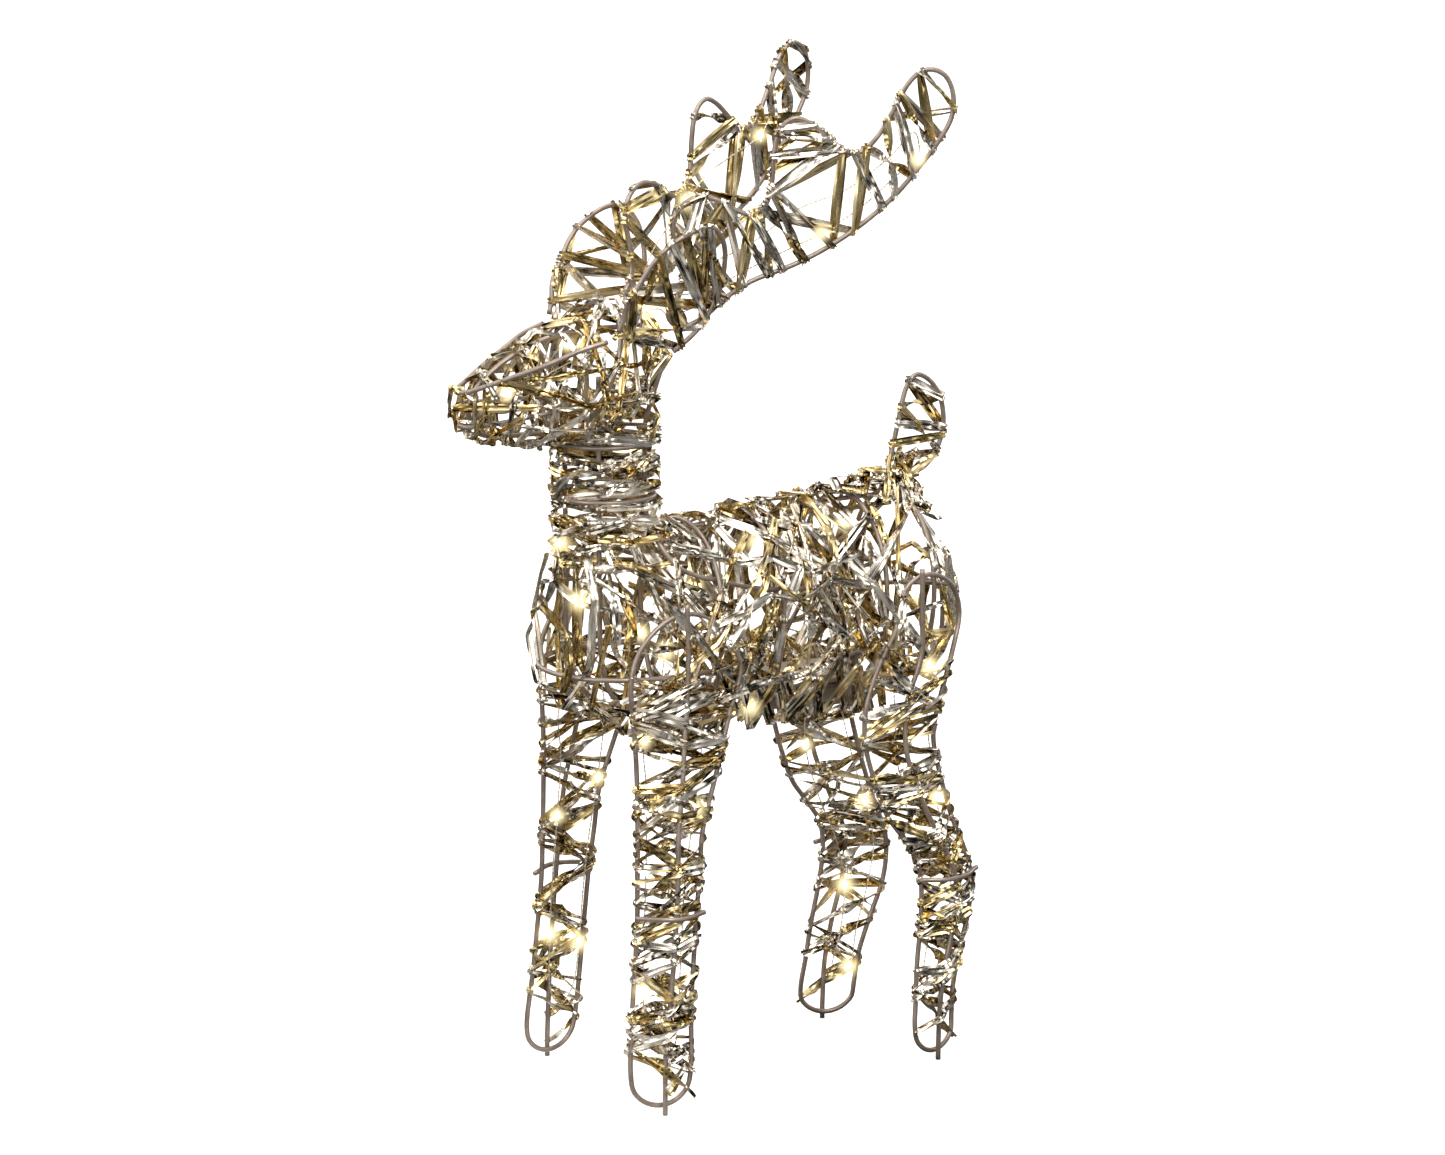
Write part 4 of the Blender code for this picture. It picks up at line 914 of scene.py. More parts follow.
def wind_loops(tape, inside, planes, spacing, lift, width=6.6, flat=0.5, keep=None, outward=None,
               drift=1.8, ends=None, gaps=0.0):
    """A strip round the skin for each plane (centre, normal), over supports about spacing apart.

    lift is the range of heights above the skin and drift the sideways wander, calmed near ends
    (two values of y). keep tells which points are allowed, gaps is the share of them left out,
    and outward may move the points."""
    rng = tape.rng
    for centre, normal in planes:
        probe, _ = section_points(inside, centre, normal, turns(24))
        around = np.linalg.norm(probe - np.roll(probe, 1, 0), axis=1).sum()
        count = max(int(around / spacing), 7 if around > 90 else 5)
        base = np.cumsum(rng.uniform(0.6, 1.4, count))
        angles = (base / base[-1] * 2 * math.pi + rng.uniform(0, TAU)) % TAU
        angles = np.roll(angles, -rng.integers(count))
        angles = np.r_[angles, angles[0] + 0.3]  # a short overlap
        points, normals = section_points(inside, centre, normal, angles)
        if outward is not None:
            points, normals = outward(points, normals, rng)
        points = points + normals * rng.uniform(*lift, len(points))[:, None]
        chosen = np.arange(len(points))
        if keep is not None:
            chosen = np.flatnonzero(keep(points) & (rng.random(len(points)) > gaps))
        for run in np.split(chosen, np.flatnonzero(np.diff(chosen) > 1) + 1):
            if len(run) < 3:
                continue
            calm = 1.0
            if ends is not None:
                y = points[run][:, 1]
                calm = np.clip(np.minimum(y - ends[0], ends[1] - y) / 30, 0.05, 1)
            shift = (rng.normal(0, drift, len(run)) * calm)[:, None]
            tape.wind(points[run] + unit(normal) * shift, normals[run], 0.6,
                      width=width * rng.uniform(0.85, 1.12), flat=flat)


# ---------------------------------------------------------------- tape round the barrel
# Zigzags beside the battery case, clear of its lid:
# sign of x, lowest z, highest z, start y, end y, shortest and longest step in y
SKIRTS = (
    (1, 211.5, 258, -28, 76, 6, 15), (1, 211.5, 268, -30, 84, 13, 26),
    (1, 211.5, 268, -22, 84, 14, 28), (1, 211.5, 268, -12, 84, 13, 26),
    (1, 211.5, 268, -2, 84, 12, 24), (-1, 228.5, 258, -4, 76, 6, 14),
    (-1, 228.5, 258, 6, 76, 6, 14), (-1, 228.5, 268, -20, 84, 13, 26))
# Zigzags along the spine: start y, end y
RIDGES = ((-36, 108), (6, 112), (40, 110), (58, 114))
# Height of the ridge: y, z
RIDGE_RISE = ((-40, 0, 40, 70, 100, 114), (339.5, 340.5, 344, 348, 353, 351))


def clear_of_case(points):
    """True away from the battery case and the room its lid hinges in."""
    x, y, z = points.T
    under = (np.abs(x) < 26) & (z < 240) & (y > -4) & (y < 75)
    hinge = (x < -19) & (x > -44) & (z < 220) & (y > 8) & (y < 73)
    return ~(under | hinge)


def over_arches(points, normals, rng):
    """Lets most loops pass outside the tops of the legs."""
    if rng.random() < 0.4:
        return points, normals
    points, normals = points.copy(), normals.copy()
    for i, (x, y, z) in enumerate(points):
        front = -106 < y < -28 and 226 < z < 293
        rear = 64 < y < 128 and 226 < z < 298
        if abs(x) < 36 or not (front or rear):
            continue
        reach = 56.0 if front else 54.5 - rump_inset(y)
        points[i, 0] = math.copysign(max(abs(x), reach), x)
        normals[i] = unit(normals[i] + np.array([math.copysign(1.2, x), 0, 0]))
    return points, normals


def skirts(tape, rng):
    for sign, low, top, start, end, shortest, longest in SKIRTS:
        centres, normals = [], []
        y, high = start, True
        while y < end:
            z = rng.uniform(240, top) if high else low + rng.uniform(0, 4)
            x = 47.0 if high else (27.5 + (z - low) * 0.6)
            centres.append((sign * x, y, z))
            normals.append(unit((sign, 0, 0.3 if high else -0.5)))
            high = not high
            y += rng.uniform(shortest, longest)
        tape.wind(centres, normals, 0.8, width=6.8, flat=0.6, pinch=(0.5, 0.92))


def ridge(tape, rng):
    """Zigzags along the spine."""
    for start, end in RIDGES:
        centres, normals = [], []
        y, sign = start, 1 if rng.random() < 0.5 else -1
        while y < end:
            x = sign * rng.uniform(5, 19)
            rise = float(np.interp(y, *RIDGE_RISE))
            centres.append((x, y, rise - 0.022 * x * x + rng.normal(0, 0.8)))
            normals.append(unit((x * 0.04, 0, 1)))
            sign = -sign
            y += rng.uniform(6, 17)
        tape.wind(centres, normals, 0.6, width=6.6, flat=0.55, pinch=(0.5, 0.9))


def tail_root(tape, rng):
    """Strips from side to side of the rump, and up to the root of the tail at every third bend."""
    for k in range(4):
        centres, normals = [], []
        for j in range(9):
            sign = 1 if j % 2 else -1
            if j % 3 == 0:
                y = rng.uniform(101, 122)
                z = 347 + rng.uniform(0, 18) + (5 if k == 0 else 0)
                centres.append((sign * 1.8, y, z))
                normals.append(unit((sign, 0, 0.4)))
            else:
                y = rng.uniform(84, 122)
                x = sign * rng.uniform(12, 26)
                centres.append((x, y, 337 - max(0.0, y - 106) * 0.8 + rng.uniform(-4, 3)))
                normals.append(unit((sign * 0.6, 0, 1)))
        tape.wind(centres, normals, 0.6, width=6.4, flat=0.6, pinch=(0.5, 0.9))


def slanted(rng, x_range, z_range):
    """Normal of a plane tilted either way from straight across."""
    x = rng.choice([-1, 1]) * rng.uniform(*x_range)
    return (x, 1, rng.choice([-1, 1]) * rng.uniform(*z_range))


def foil_barrel(rng):
    across = []
    for y in np.linspace(-130, 138, 24):
        calm = min(1.0, max(0.15, min(y + 136, 142 - y) / 45))
        centre = (0, y + rng.normal(0, 1.5), 270 if y < -115 or y > 125 else 279)
        across.append((centre, (rng.normal(0, 0.2) * calm, 1, rng.normal(0, 0.34) * calm)))
    slant = []
    for y in np.linspace(-88, 98, 17):
        slant.append(((0, y, 280), slanted(rng, (0.3, 0.9), (0.5, 1.3))))
    along = []
    for z in (226, 236, 248, 264, 280, 296, 312):
        along.append(((0, 0, z), (rng.normal(0, 0.3), rng.normal(0, 0.22), 1)))
    skin = section_skin(BARREL, power=2.15)
    limits = {"keep": clear_of_case, "outward": over_arches}

    tape = Tape("foil_barrel_across", 11, "tape_body")
    wind_loops(tape, skin, across, 44, lift=(-2.5, 0.8), drift=4, ends=(-136, 141), **limits)
    tape.build()

    tape = Tape("foil_barrel_slant", 12, "tape_chest")
    limits["ends"] = (-135, 141)
    wind_loops(tape, skin, slant, 44, lift=(-2.0, 1.6), drift=4, **limits)
    wind_loops(tape, skin, along, 36, lift=(-2.0, 1.2), drift=7, gaps=0.22, **limits)
    skirts(tape, rng)
    ridge(tape, rng)
    tail_root(tape, rng)
    tape.build()


# ---------------------------------------------------------------- tape round the neck and head
def foil_neck(rng):
    planes = []
    for z in np.arange(321, 410, 6.2):
        centre = (0, NECK_Y, z + rng.normal(0, 0.8))
        planes.append((centre, (rng.normal(0, 0.06), rng.normal(0, 0.07), 1)))
    for z in (328, 346, 364, 384):
        planes.append(((0, NECK_Y, z), (rng.normal(0, 0.35), rng.normal(0, 0.3), 1)))
    tape = Tape("foil_neck", 21, "tape_neck")
    wind_loops(tape, inside_neck, planes, 34, lift=(0.0, 2.2), flat=0.6, drift=2.4)
    tape.build()


def foil_head(rng):
    planes = []
    for y in np.arange(-187, -66, 8.5):
        centre = (0, y + rng.normal(0, 1), np.interp(y, (-190, -70), (413, 438)))
        planes.append((centre, (rng.normal(0, 0.18), 1, rng.normal(0, 0.22))))
    for y in (-162, -146, -132, -118, -104, -92):
        planes.append(((0, y, 424), slanted(rng, (0.3, 0.8), (0.4, 1.0))))
    for z in (402, 413, 424, 436):
        planes.append(((0, -126, z), (rng.normal(0, 0.15), rng.normal(0.05, 0.1), 1)))
    tape = Tape("foil_head", 31, "tape_head")
    skin = section_skin(HEAD, power=2.1)
    wind_loops(tape, skin, planes, 30, lift=(0.0, 2.0), width=5.8)
    tape.build()


# ---------------------------------------------------------------- tape on antlers, ears and tail
OUTLINE_STOPS = 90  # places along an outline where a zigzag may turn
CELL_SIZE = 4.0  # grid on which the cover by tape is counted
COVER_REACH = 3.4
OPTIONS = 14  # most turning places weighed up at each turn


def weave(outline, normal, count, rng, shortest, longest, starts):
    """Zigzags as places (0 to 1) along a flat outline, inside it and covering it evenly.

    count spans are shared between the starts, each between shortest and longest."""
    across = unit(np.cross(normal, (0, 0, 1)))
    upward = np.cross(normal, across)
    centred = outline - outline.mean(0)
    flat = np.stack([centred @ across, centred @ upward], 1)
    closed = np.vstack([flat, flat[:1]])
    lengths = path_lengths(closed)
    places = (np.arange(OUTLINE_STOPS) + 0.5) / OUTLINE_STOPS
    stops = at_lengths(places * lengths[-1], lengths, closed)
    tangents = np.roll(stops, -1, 0) - np.roll(stops, 1, 0)
    tangents /= np.linalg.norm(tangents, axis=1)[:, None]

    def within(points):
        start, end = closed[:-1], closed[1:]
        x, y = points[:, 0][:, None], points[:, 1][:, None]
        crosses = (start[:, 1] > y) != (end[:, 1] > y)
        rise = end[:, 1] - start[:, 1]
        rise = np.where(np.abs(rise) < 1e-9, 1e-9, rise)
        edge = start[:, 0] + (y - start[:, 1]) * (end[:, 0] - start[:, 0]) / rise
        return (crosses & (x < edge)).sum(1) % 2 == 1

    good = np.zeros((OUTLINE_STOPS, OUTLINE_STOPS), bool)
    for i in range(OUTLINE_STOPS):
        for j in range(OUTLINE_STOPS):
            gap = stops[j] - stops[i]
            long = float(np.hypot(*gap))
            if not shortest < long < longest:
                continue
            if abs(gap @ tangents[i]) / long > 0.88 or abs(gap @ tangents[j]) / long > 0.88:
                continue
            good[i, j] = within(stops[i] + gap * np.linspace(0.06, 0.94, 7)[:, None]).all()
    low, high = flat.min(0), flat.max(0)
    grid = np.meshgrid(*(np.arange(low[k], high[k], CELL_SIZE) for k in range(2)))
    cells = np.stack(grid, -1).reshape(-1, 2)
    cells = cells[within(cells)]
    cover = np.zeros(len(cells))

    def under(i, j):
        """Cells that the span from stop i to stop j would pass over."""
        gap = stops[j] - stops[i]
        share = np.clip((cells - stops[i]) @ gap / (gap @ gap), 0, 1)
        aside = np.linalg.norm(cells - stops[i] - share[:, None] * gap, axis=1)
        return aside < COVER_REACH

    runs = []
    visits = np.zeros(OUTLINE_STOPS)
    usable = np.flatnonzero(good.any(1))
    for _ in range(starts):
        bare = [cover[np.linalg.norm(cells - stops[j], axis=1) < 13].mean() for j in usable]
        i = int(usable[np.argmin(np.array(bare) + rng.random(len(usable)) * 0.15)])
        run = [places[i]]
        for _ in range(count // starts):
            options = np.flatnonzero(good[i])
            if len(options) > OPTIONS:
                options = rng.choice(options, OPTIONS, replace=False)
            worth = []
            for j in options:
                over = under(i, j)
                fresh = np.exp(-1.3 * cover[over]).sum() / (over.sum() + 2.0)
                worth.append(fresh - 0.12 * visits[j] + 0.12 * rng.random())
            j = int(options[int(np.argmax(worth))])
            cover[under(i, j)] += 1
            i = j
            visits[i] += 1
            run.append(places[i])
        runs.append(run)
    return runs


def foil_outline(name, seed, cad_node, outline, normal, **weaving):
    """Zigzag strips across a flat outline, on alternate faces."""
    tape = Tape(name, seed, cad_node)
    rng = tape.rng
    normal = unit(normal)
    closed = np.vstack([outline, outline[:1]])
    lengths = path_lengths(closed)

    def point_at(place):
        return at_lengths(place, lengths, closed)

    for run in weave(outline, normal, rng=rng, **weaving):
        points, normals = [], []
        for k, place in enumerate(run):
            length = ((place + rng.normal(0, 0.004)) % 1.0) * lengths[-1]
            point = point_at(length)
            tangent = unit(point_at((length + 1.5) % lengths[-1]) - point)
            side = unit(np.cross(tangent, normal))
            other = run[k + 1] if k + 1 < len(run) else run[k - 1]
            if side @ (point_at((other % 1.0) * lengths[-1]) - point) > 0:
                side = -side
            radius = WIRE_R + 0.2 + rng.random() * 0.7
            # each bend goes over the wire's outer side, from one face to the other
            face = 1 if k % 2 == 0 else -1
            for tilt in (-0.9, 0.0, 0.9):
                direction = unit(side * math.cos(tilt) + normal * face * math.sin(tilt))
                points.append(point + direction * radius)
                normals.append(direction)
        tape.wind(points, normals, 0.25, width=6.8 * rng.uniform(0.85, 1.12), flat=0.7,
                  pinch=(0.5, 0.92), narrow=0.16)
    tape.build()


def foil_outlines(lines):
    for k, (side, sign) in enumerate(SIDES.items()):
        plane = on_side((1, -ANTLER_SPLAY, 0), sign)
        foil_outline(f"foil_{side}_antler", 60 + k, f"tape_{side}_antler",
                     lines[f"antler_wire_{side}"][0], plane,
                     count=42, shortest=13, longest=56, starts=7)
        ear = lines[f"ear_wire_{side}"][0]
        plane = np.cross(ear[len(ear) // 3] - ear[0], ear[-1] - ear[0])
        foil_outline(f"foil_{side}_ear", 70 + k, f"tape_{side}_ear", ear, plane,
                     count=13, shortest=10, longest=60, starts=2)
    foil_outline("foil_tail", 80, "tape_tail", lines["tail_wire"][0], (1, 0, 0),
                 count=10, shortest=11, longest=40, starts=2)


# ---------------------------------------------------------------- wires and tape
def build_wires(lines):
    for name, (path, closed) in lines.items():
        verts, faces = tube(resample(path, 2.6, closed), WIRE_R, closed=closed)
        rod = new_mesh(f"wire_{name}", verts, faces, [WIRE])
        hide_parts(name)


lines = wires()
build_wires(lines)
for k, (side, sign) in enumerate(SIDES.items()):
    foil_leg(FRONT, side, sign, seed=40 + k)
    foil_leg(REAR, side, sign, seed=50 + k)
plane_rng = np.random.default_rng(7)
foil_barrel(plane_rng)
foil_neck(plane_rng)
foil_head(plane_rng)
foil_outlines(lines)


# ---------------------------------------------------------------- battery case
def plastic_material(name, colour, rough, metallic=None):
    material, tree, bsdf = new_material(name)
    darker = tuple(level * 0.88 for level in colour)
    mottle(tree, bsdf.inputs["Base Color"], scale=60, detail=3,
           stops=[(0.35, darker), (0.65, colour)])
    mottle(tree, bsdf.inputs["Roughness"], scale=300, detail=2,
           stops=[(0.3, grey(rough * 0.85)), (0.7, grey(rough * 1.15))])
    bump(tree, bsdf, noise(tree, scale=2600, detail=2), strength=0.25, distance=0.0002)
    if metallic is not None:
        set_inputs(bsdf, {"Metallic": metallic})
    return material


def finish_case():
    case = plastic_material("case_plastic", colour=(0.48, 0.43, 0.36), rough=0.42)
    nickel = plastic_material("nickel_plate", colour=(0.66, 0.64, 0.60), rough=0.25, metallic=1.0)
    cell = plastic_material("cell_jacket", colour=(0.10, 0.16, 0.22), rough=0.3)
    board = plastic_material("circuit_board", colour=(0.03, 0.16, 0.07), rough=0.4)
    knob = plastic_material("switch_knob", colour=(0.06, 0.06, 0.065), rough=0.45)
    finishes = {
        "battery_case": case, "battery_lid": case, "lid_hinge_pin": nickel,
        "contact_plate_front": nickel, "contact_plate_rear": nickel, "battery_cell_1": cell,
        "battery_cell_2": cell, "battery_cell_3": cell, "control_board": board,
        "mode_switch": knob}
    for name, material in finishes.items():
        node = frame["nodes"][name]
        node.data.materials.clear()
        node.data.materials.append(material)
        if name in ("battery_case", "battery_lid", "mode_switch"):
            soft = node.modifiers.new("edges", "BEVEL")
            soft.width = 0.0003
            soft.segments = 2
            soft.limit_method = "ANGLE"
            soft.angle_limit = math.radians(40)


finish_case()


# ---------------------------------------------------------------- LED string
LED_LEG_IN = 3.6  # the string runs this far inside the legs
LED_ANTLER_IN = 3.4  # and this far inside the antlers
STRAND_R = 0.24
STRAND_APART, BEAD_APART = 0.28, 0.9  # strand offset from the middle, and its growth at a bead
STRAND_PITCH = 5.5
WIRE_GAP, BEAD_GAP = 2.6, 3.9  # least distances to wire centrelines, along the string and at beads

# Where the string runs, the sign of x, and its stops. The last column is 1 where a bead sits.
# Free stops are x, y, z, bead; on a leg or antler x follows, and they are y, z, bead.
LED_ROUTE = (
    ("free", 1, (
        (0, 3.4, 231, 0), (0, -4, 236, 0), (10, -9, 240, 0), (22, -11, 236, 0),
        (30.5, -13, 225, 1), (33, 4, 232, 0), (36, 28, 244, 0), (40, 60, 240, 0),
        (46, 84, 248, 0), (46.5, 101, 240, 1))),
    (REAR, 1, (
        (100, 212, 0), (104, 184, 0), (109, 158, 1), (115, 128, 0), (120, 100, 0), (117, 72, 0),
        (114, 50, 1), (108, 34, 0), (100, 33, 0), (97, 52, 0), (102, 78, 0), (104, 104, 1),
        (98, 132, 0), (84, 160, 0), (78, 190, 0), (76, 214, 0))),
    ("free", 1, (
        (44, 76, 244, 0), (38.5, 75, 262, 0), (37, 78, 287, 1), (26, 74, 310, 0), (6, 66, 323, 1),
        (-20, 74, 314, 0), (-35, 82, 292, 1), (-39, 84, 262, 0), (-43, 80, 240, 0))),
    (REAR, -1, (
        (74, 212, 0), (72, 176, 1), (80, 146, 0), (94, 112, 0), (99, 85, 1), (96, 56, 0),
        (92, 35, 0), (101, 34, 1), (106, 58, 0), (114, 88, 0), (117, 112, 0), (111, 137, 1),
        (104, 160, 0), (97, 190, 0), (94, 214, 0))),
    ("free", 1, (
        (-41, 92, 242, 0), (-32, 68, 256, 0), (-38, 42, 286, 1), (-18, 32, 314, 0),
        (17, 25, 318, 1), (34, 18, 304, 0), (30, 8, 309, 0), (10, 3.5, 318.5, 1),
        (-20, 2, 313, 0), (-37, -12, 286, 1), (-36, -26, 262, 0), (-30, -52, 262, 1),
        (-12, -30, 296, 0), (14, -34, 318, 0), (36, -58, 299, 1), (38, -66, 286, 0),
        (42.5, -77, 268, 1), (44, -82, 246, 0))),
    (FRONT, 1, (
        (-97, 219, 1), (-96, 190, 0), (-97, 150, 0), (-99, 110, 0), (-101, 72, 1), (-99, 46, 0),
        (-93, 34, 0), (-84, 36, 0), (-80, 60, 0), (-77, 98, 1), (-73, 138, 0), (-66, 176, 1),
        (-60, 208, 0))),
    ("free", 1, ((42, -58, 236, 0), (20, -64, 256, 0), (-14, -80, 258, 0), (-38, -74, 240, 0))),
    (FRONT, -1, (
        (-64, 210, 0), (-67, 171, 1), (-73, 130, 0), (-76, 98, 0), (-78, 70, 1), (-82, 44, 0),
        (-90, 34, 0), (-98, 42, 0), (-100, 79, 1), (-99, 116, 0), (-96, 152, 1), (-94, 190, 0),
        (-96, 214, 0))),
    ("free", 1, (
        (-38, -97, 240, 0), (-26, -108, 268, 0), (-13, -113, 300, 0), (-12, -116, 326, 1),
        (4, -116, 318, 0), (16, -119, 297, 1), (14, -104, 312, 0), (0, -78, 326, 0),
        (-15, -84, 340, 0), (-16, -98, 350, 1), (-2, -110, 360, 0), (14, -100, 368, 0),
        (12, -83, 383, 1), (-6, -82, 396, 0), (-8, -100, 410, 0), (4, -112, 430, 0),
        (6, -121, 446, 1), (0, -134, 432, 0), (-12, -150, 418, 1), (-10, -132, 424, 0),
        (2, -104, 438, 0), (14, -90, 441, 0), (24, -84, 452, 0), (32, -84, 470, 1),
        (34, -72, 474, 0))),
    ("antler", 1, (
        (-50, 474, 0), (-46, 486, 0), (-20, 500, 0), (8, 520, 0), (34, 530, 0), (58, 548, 0),
        (72, 562, 0), (74, 546, 1), (64, 539, 0), (44, 521, 0), (20, 505, 1), (-8, 492, 0),
        (-34, 478, 0), (-46, 467, 0))),
    ("free", 1, ((16, -58, 459, 0), (0, -56, 460, 0), (-14, -58, 459, 0))),
    ("antler", -1, (
        (-54, 466, 0), (-46, 486, 0), (-15, 515, 1), (3, 529, 1), (20, 536, 0), (47, 546.5, 1),
        (56, 556, 0))))


def led_stops():
    """Stops of the string as x, y, z, bead."""
    stops = []
    antler_normal = np.array([1, -ANTLER_SPLAY]) / math.hypot(1, ANTLER_SPLAY)
    for where, sign, rows in LED_ROUTE:
        for row in rows:
            x, (y, z, bead) = row[0], row[-3:]
            if where == "antler":
                x = sign * (ANTLER_X0 + ANTLER_SPLAY * y - antler_normal[0] * LED_ANTLER_IN)
                y = y - antler_normal[1] * LED_ANTLER_IN
            elif where != "free":
                shift = sign * where.stance * stance_share(z)
                x = sign * where.place(y - shift - where.foot_y, z, -LED_LEG_IN)[0]
            stops.append((x, y, z, bead))
    return stops


def clear_of_wires(path, lines, gap):
    """Eases the path off any wire nearer than its gap, then smooths what moved."""
    rods = np.vstack([resample(line, 2.5, closed) for line, closed in lines])
    path = path.copy()
    for _ in range(30):
        push = np.zeros_like(path)
        for i in range(0, len(path), 64):
            part = path[i : i + 64]
            away = part[:, None] - rods[None]
            far = np.linalg.norm(away, axis=2)
            for k in range(len(part)):
                j = int(far[k].argmin())
                short = gap[i + k] - far[k, j]
                if far[k, j] < gap[i + k]:
                    push[i + k] = away[k, j] / (far[k, j] + 1e-6) * short
        if not push.any():
            break
        for _ in range(2):
            moved = np.abs(push[1:-1]).sum(1)[:, None] > 0
            push[1:-1] = np.where(moved, push[1:-1], (push[:-2] + push[2:]) / 3)
        path += push
    return path


def from_nearest(lengths, numbers):
    """Distance along the path to the nearest of the points with these numbers."""
    return np.min([np.abs(lengths - lengths[k]) for k in numbers], axis=0)


def led_path(lines):
    """Middle line of the string, and the numbers of its points where beads sit."""
    stops = led_stops()
    per = 8
    path = smooth([stop[:3] for stop in stops], per=per)
    lit = [per * k for k, stop in enumerate(stops) if stop[3]]
    near = from_nearest(path_lengths(path), lit)
    path = clear_of_wires(path, lines.values(), np.where(near < 4.5, BEAD_GAP, WIRE_GAP))
    fine = resample(path, 1.3)
    return fine, [int(np.linalg.norm(fine - path[k], axis=1).argmin()) for k in lit]


def drop(centre, axis, long, wide, rings, sides):
    """Ellipsoid with half length long and half width wide."""
    line = np.array([centre + axis * long * t for t in np.linspace(-1, 1, rings)])
    radius = wide * np.sqrt(np.clip(1 - np.linspace(-0.985, 0.985, rings) ** 2, 0, 1))
    return tube(line, radius, sides)


def build_leds(lines):
    """The twisted pair, and clear beads round lit chips; returns the places of the beads."""
    cable_look, resin, glow = cable_material(), resin_material(), glow_material()
    path, beads = led_path(lines)
    tangent, normal, side = frames(path)
    lengths = path_lengths(path)
    near = from_nearest(lengths, beads)
    apart = STRAND_APART + BEAD_APART * np.exp(-((near / 2.2) ** 2))
    twist = lengths / STRAND_PITCH * 2 * math.pi
    around = np.cos(twist)[:, None] * normal + np.sin(twist)[:, None] * side
    strands = [tube(path + around * apart[:, None] * sign, STRAND_R, 6) for sign in (1, -1)]
    cable = new_mesh("led_cable", *merged(strands), [cable_look])
    shells = [drop(path[k], tangent[k], long=2.9, wide=1.75, rings=9, sides=12) for k in beads]
    chips = [drop(path[k], tangent[k], long=1.0, wide=0.75, rings=7, sides=8) for k in beads]
    shell = new_mesh("led_beads", *merged(shells), [resin])
    chip = new_mesh("led_chips", *merged(chips), [glow])
    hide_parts("led_string")
    return path[beads]


def cable_material():
    material, tree, bsdf = new_material("led_cable")
    mottle(tree, bsdf.inputs["Base Color"], scale=160, detail=3,
           stops=[(0.35, (0.62, 0.52, 0.38)), (0.65, (0.86, 0.80, 0.70))])
    set_inputs(bsdf, {"Metallic": 0.9})
    mottle(tree, bsdf.inputs["Roughness"], scale=500, detail=2,
           stops=[(0.35, grey(0.2)), (0.65, grey(0.38))])
    return material


def resin_material():
    material, tree, bsdf = new_material("led_resin")
    mottle(tree, bsdf.inputs["Base Color"], scale=300, detail=2,
           stops=[(0.35, (1.0, 0.86, 0.55)), (0.65, (1.0, 0.93, 0.72))])
    mottle(tree, bsdf.inputs["Emission Color"], scale=200, detail=2,
           stops=[(0.3, (1.0, 0.78, 0.40)), (0.7, (1.0, 0.86, 0.55))])
    set_inputs(bsdf, {"Roughness": 0.12, "Alpha": 0.55, "Emission Strength": 2.2})
    return material


def glow_material():
    material, tree, bsdf = new_material("led_chip")
    warm = ramp(tree, noise(tree, scale=200, detail=2),
                [(0.3, (1.0, 0.74, 0.36)), (0.7, (1.0, 0.85, 0.55))])
    tree.links.new(warm, bsdf.inputs["Emission Color"])
    tree.links.new(warm, bsdf.inputs["Base Color"])
    set_inputs(bsdf, {"Emission Strength": 30})
    return material


def halo_material():
    """Soft bloom: see-through at the rim, a pale warm veil in the middle."""
    veil_power, core_power = 3.0, 9.0  # higher draws the light in towards the middle
    veil_light, core_light = 0.16, 1.25
    material = bpy.data.materials.new("halo")
    material.use_nodes = True
    tree = material.node_tree
    tree.nodes.clear()
    out = add(tree, "ShaderNodeOutputMaterial")
    facing = add(tree, "ShaderNodeLayerWeight", Blend=0.5)
    ray = add(tree, "ShaderNodeLightPath")
    geometry = add(tree, "ShaderNodeNewGeometry")
    centre = maths(tree, "SUBTRACT", 1.0, facing.outputs["Facing"])
    front = maths(tree, "SUBTRACT", 1.0, geometry.outputs["Backfacing"])
    seen = maths(tree, "MULTIPLY", ray.outputs["Is Camera Ray"], front)
    veil = maths(tree, "MULTIPLY", maths(tree, "POWER", centre, veil_power), seen)
    core = maths(tree, "MULTIPLY", maths(tree, "POWER", centre, core_power), seen)
    clear = add(tree, "ShaderNodeBsdfTransparent")
    painted_light_tint = ramp(tree, veil, [(0.0, (1, 1, 1)), (1.0, (1.0, 0.90, 0.56))])
    tree.links.new(painted_light_tint, clear.inputs["Color"])
    glow = add(tree, "ShaderNodeEmission", Color=(1.0, 0.86, 0.50, 1))
    core_part = maths(tree, "MULTIPLY", core, core_light)
    veil_part = maths(tree, "MULTIPLY", veil, veil_light)
    tree.links.new(maths(tree, "ADD", core_part, veil_part), glow.inputs["Strength"])
    both = add(tree, "ShaderNodeAddShader")
    tree.links.new(clear.outputs[0], both.inputs[0])
    tree.links.new(glow.outputs[0], both.inputs[1])
    tree.links.new(both.outputs[0], out.inputs["Surface"])
    return material


def bead_lamps(spots):
    for k, spot in enumerate(spots):
        lamp = bpy.data.lights.new(f"glow_{k}", "POINT")
        lamp.energy = 0.010
        lamp.color = (1.0, 0.76, 0.40)
        lamp.shadow_soft_size = 0.0022
        obj = new_object(f"glow_{k}", lamp)
        obj.location = world(spot)
        obj.visible_glossy = False


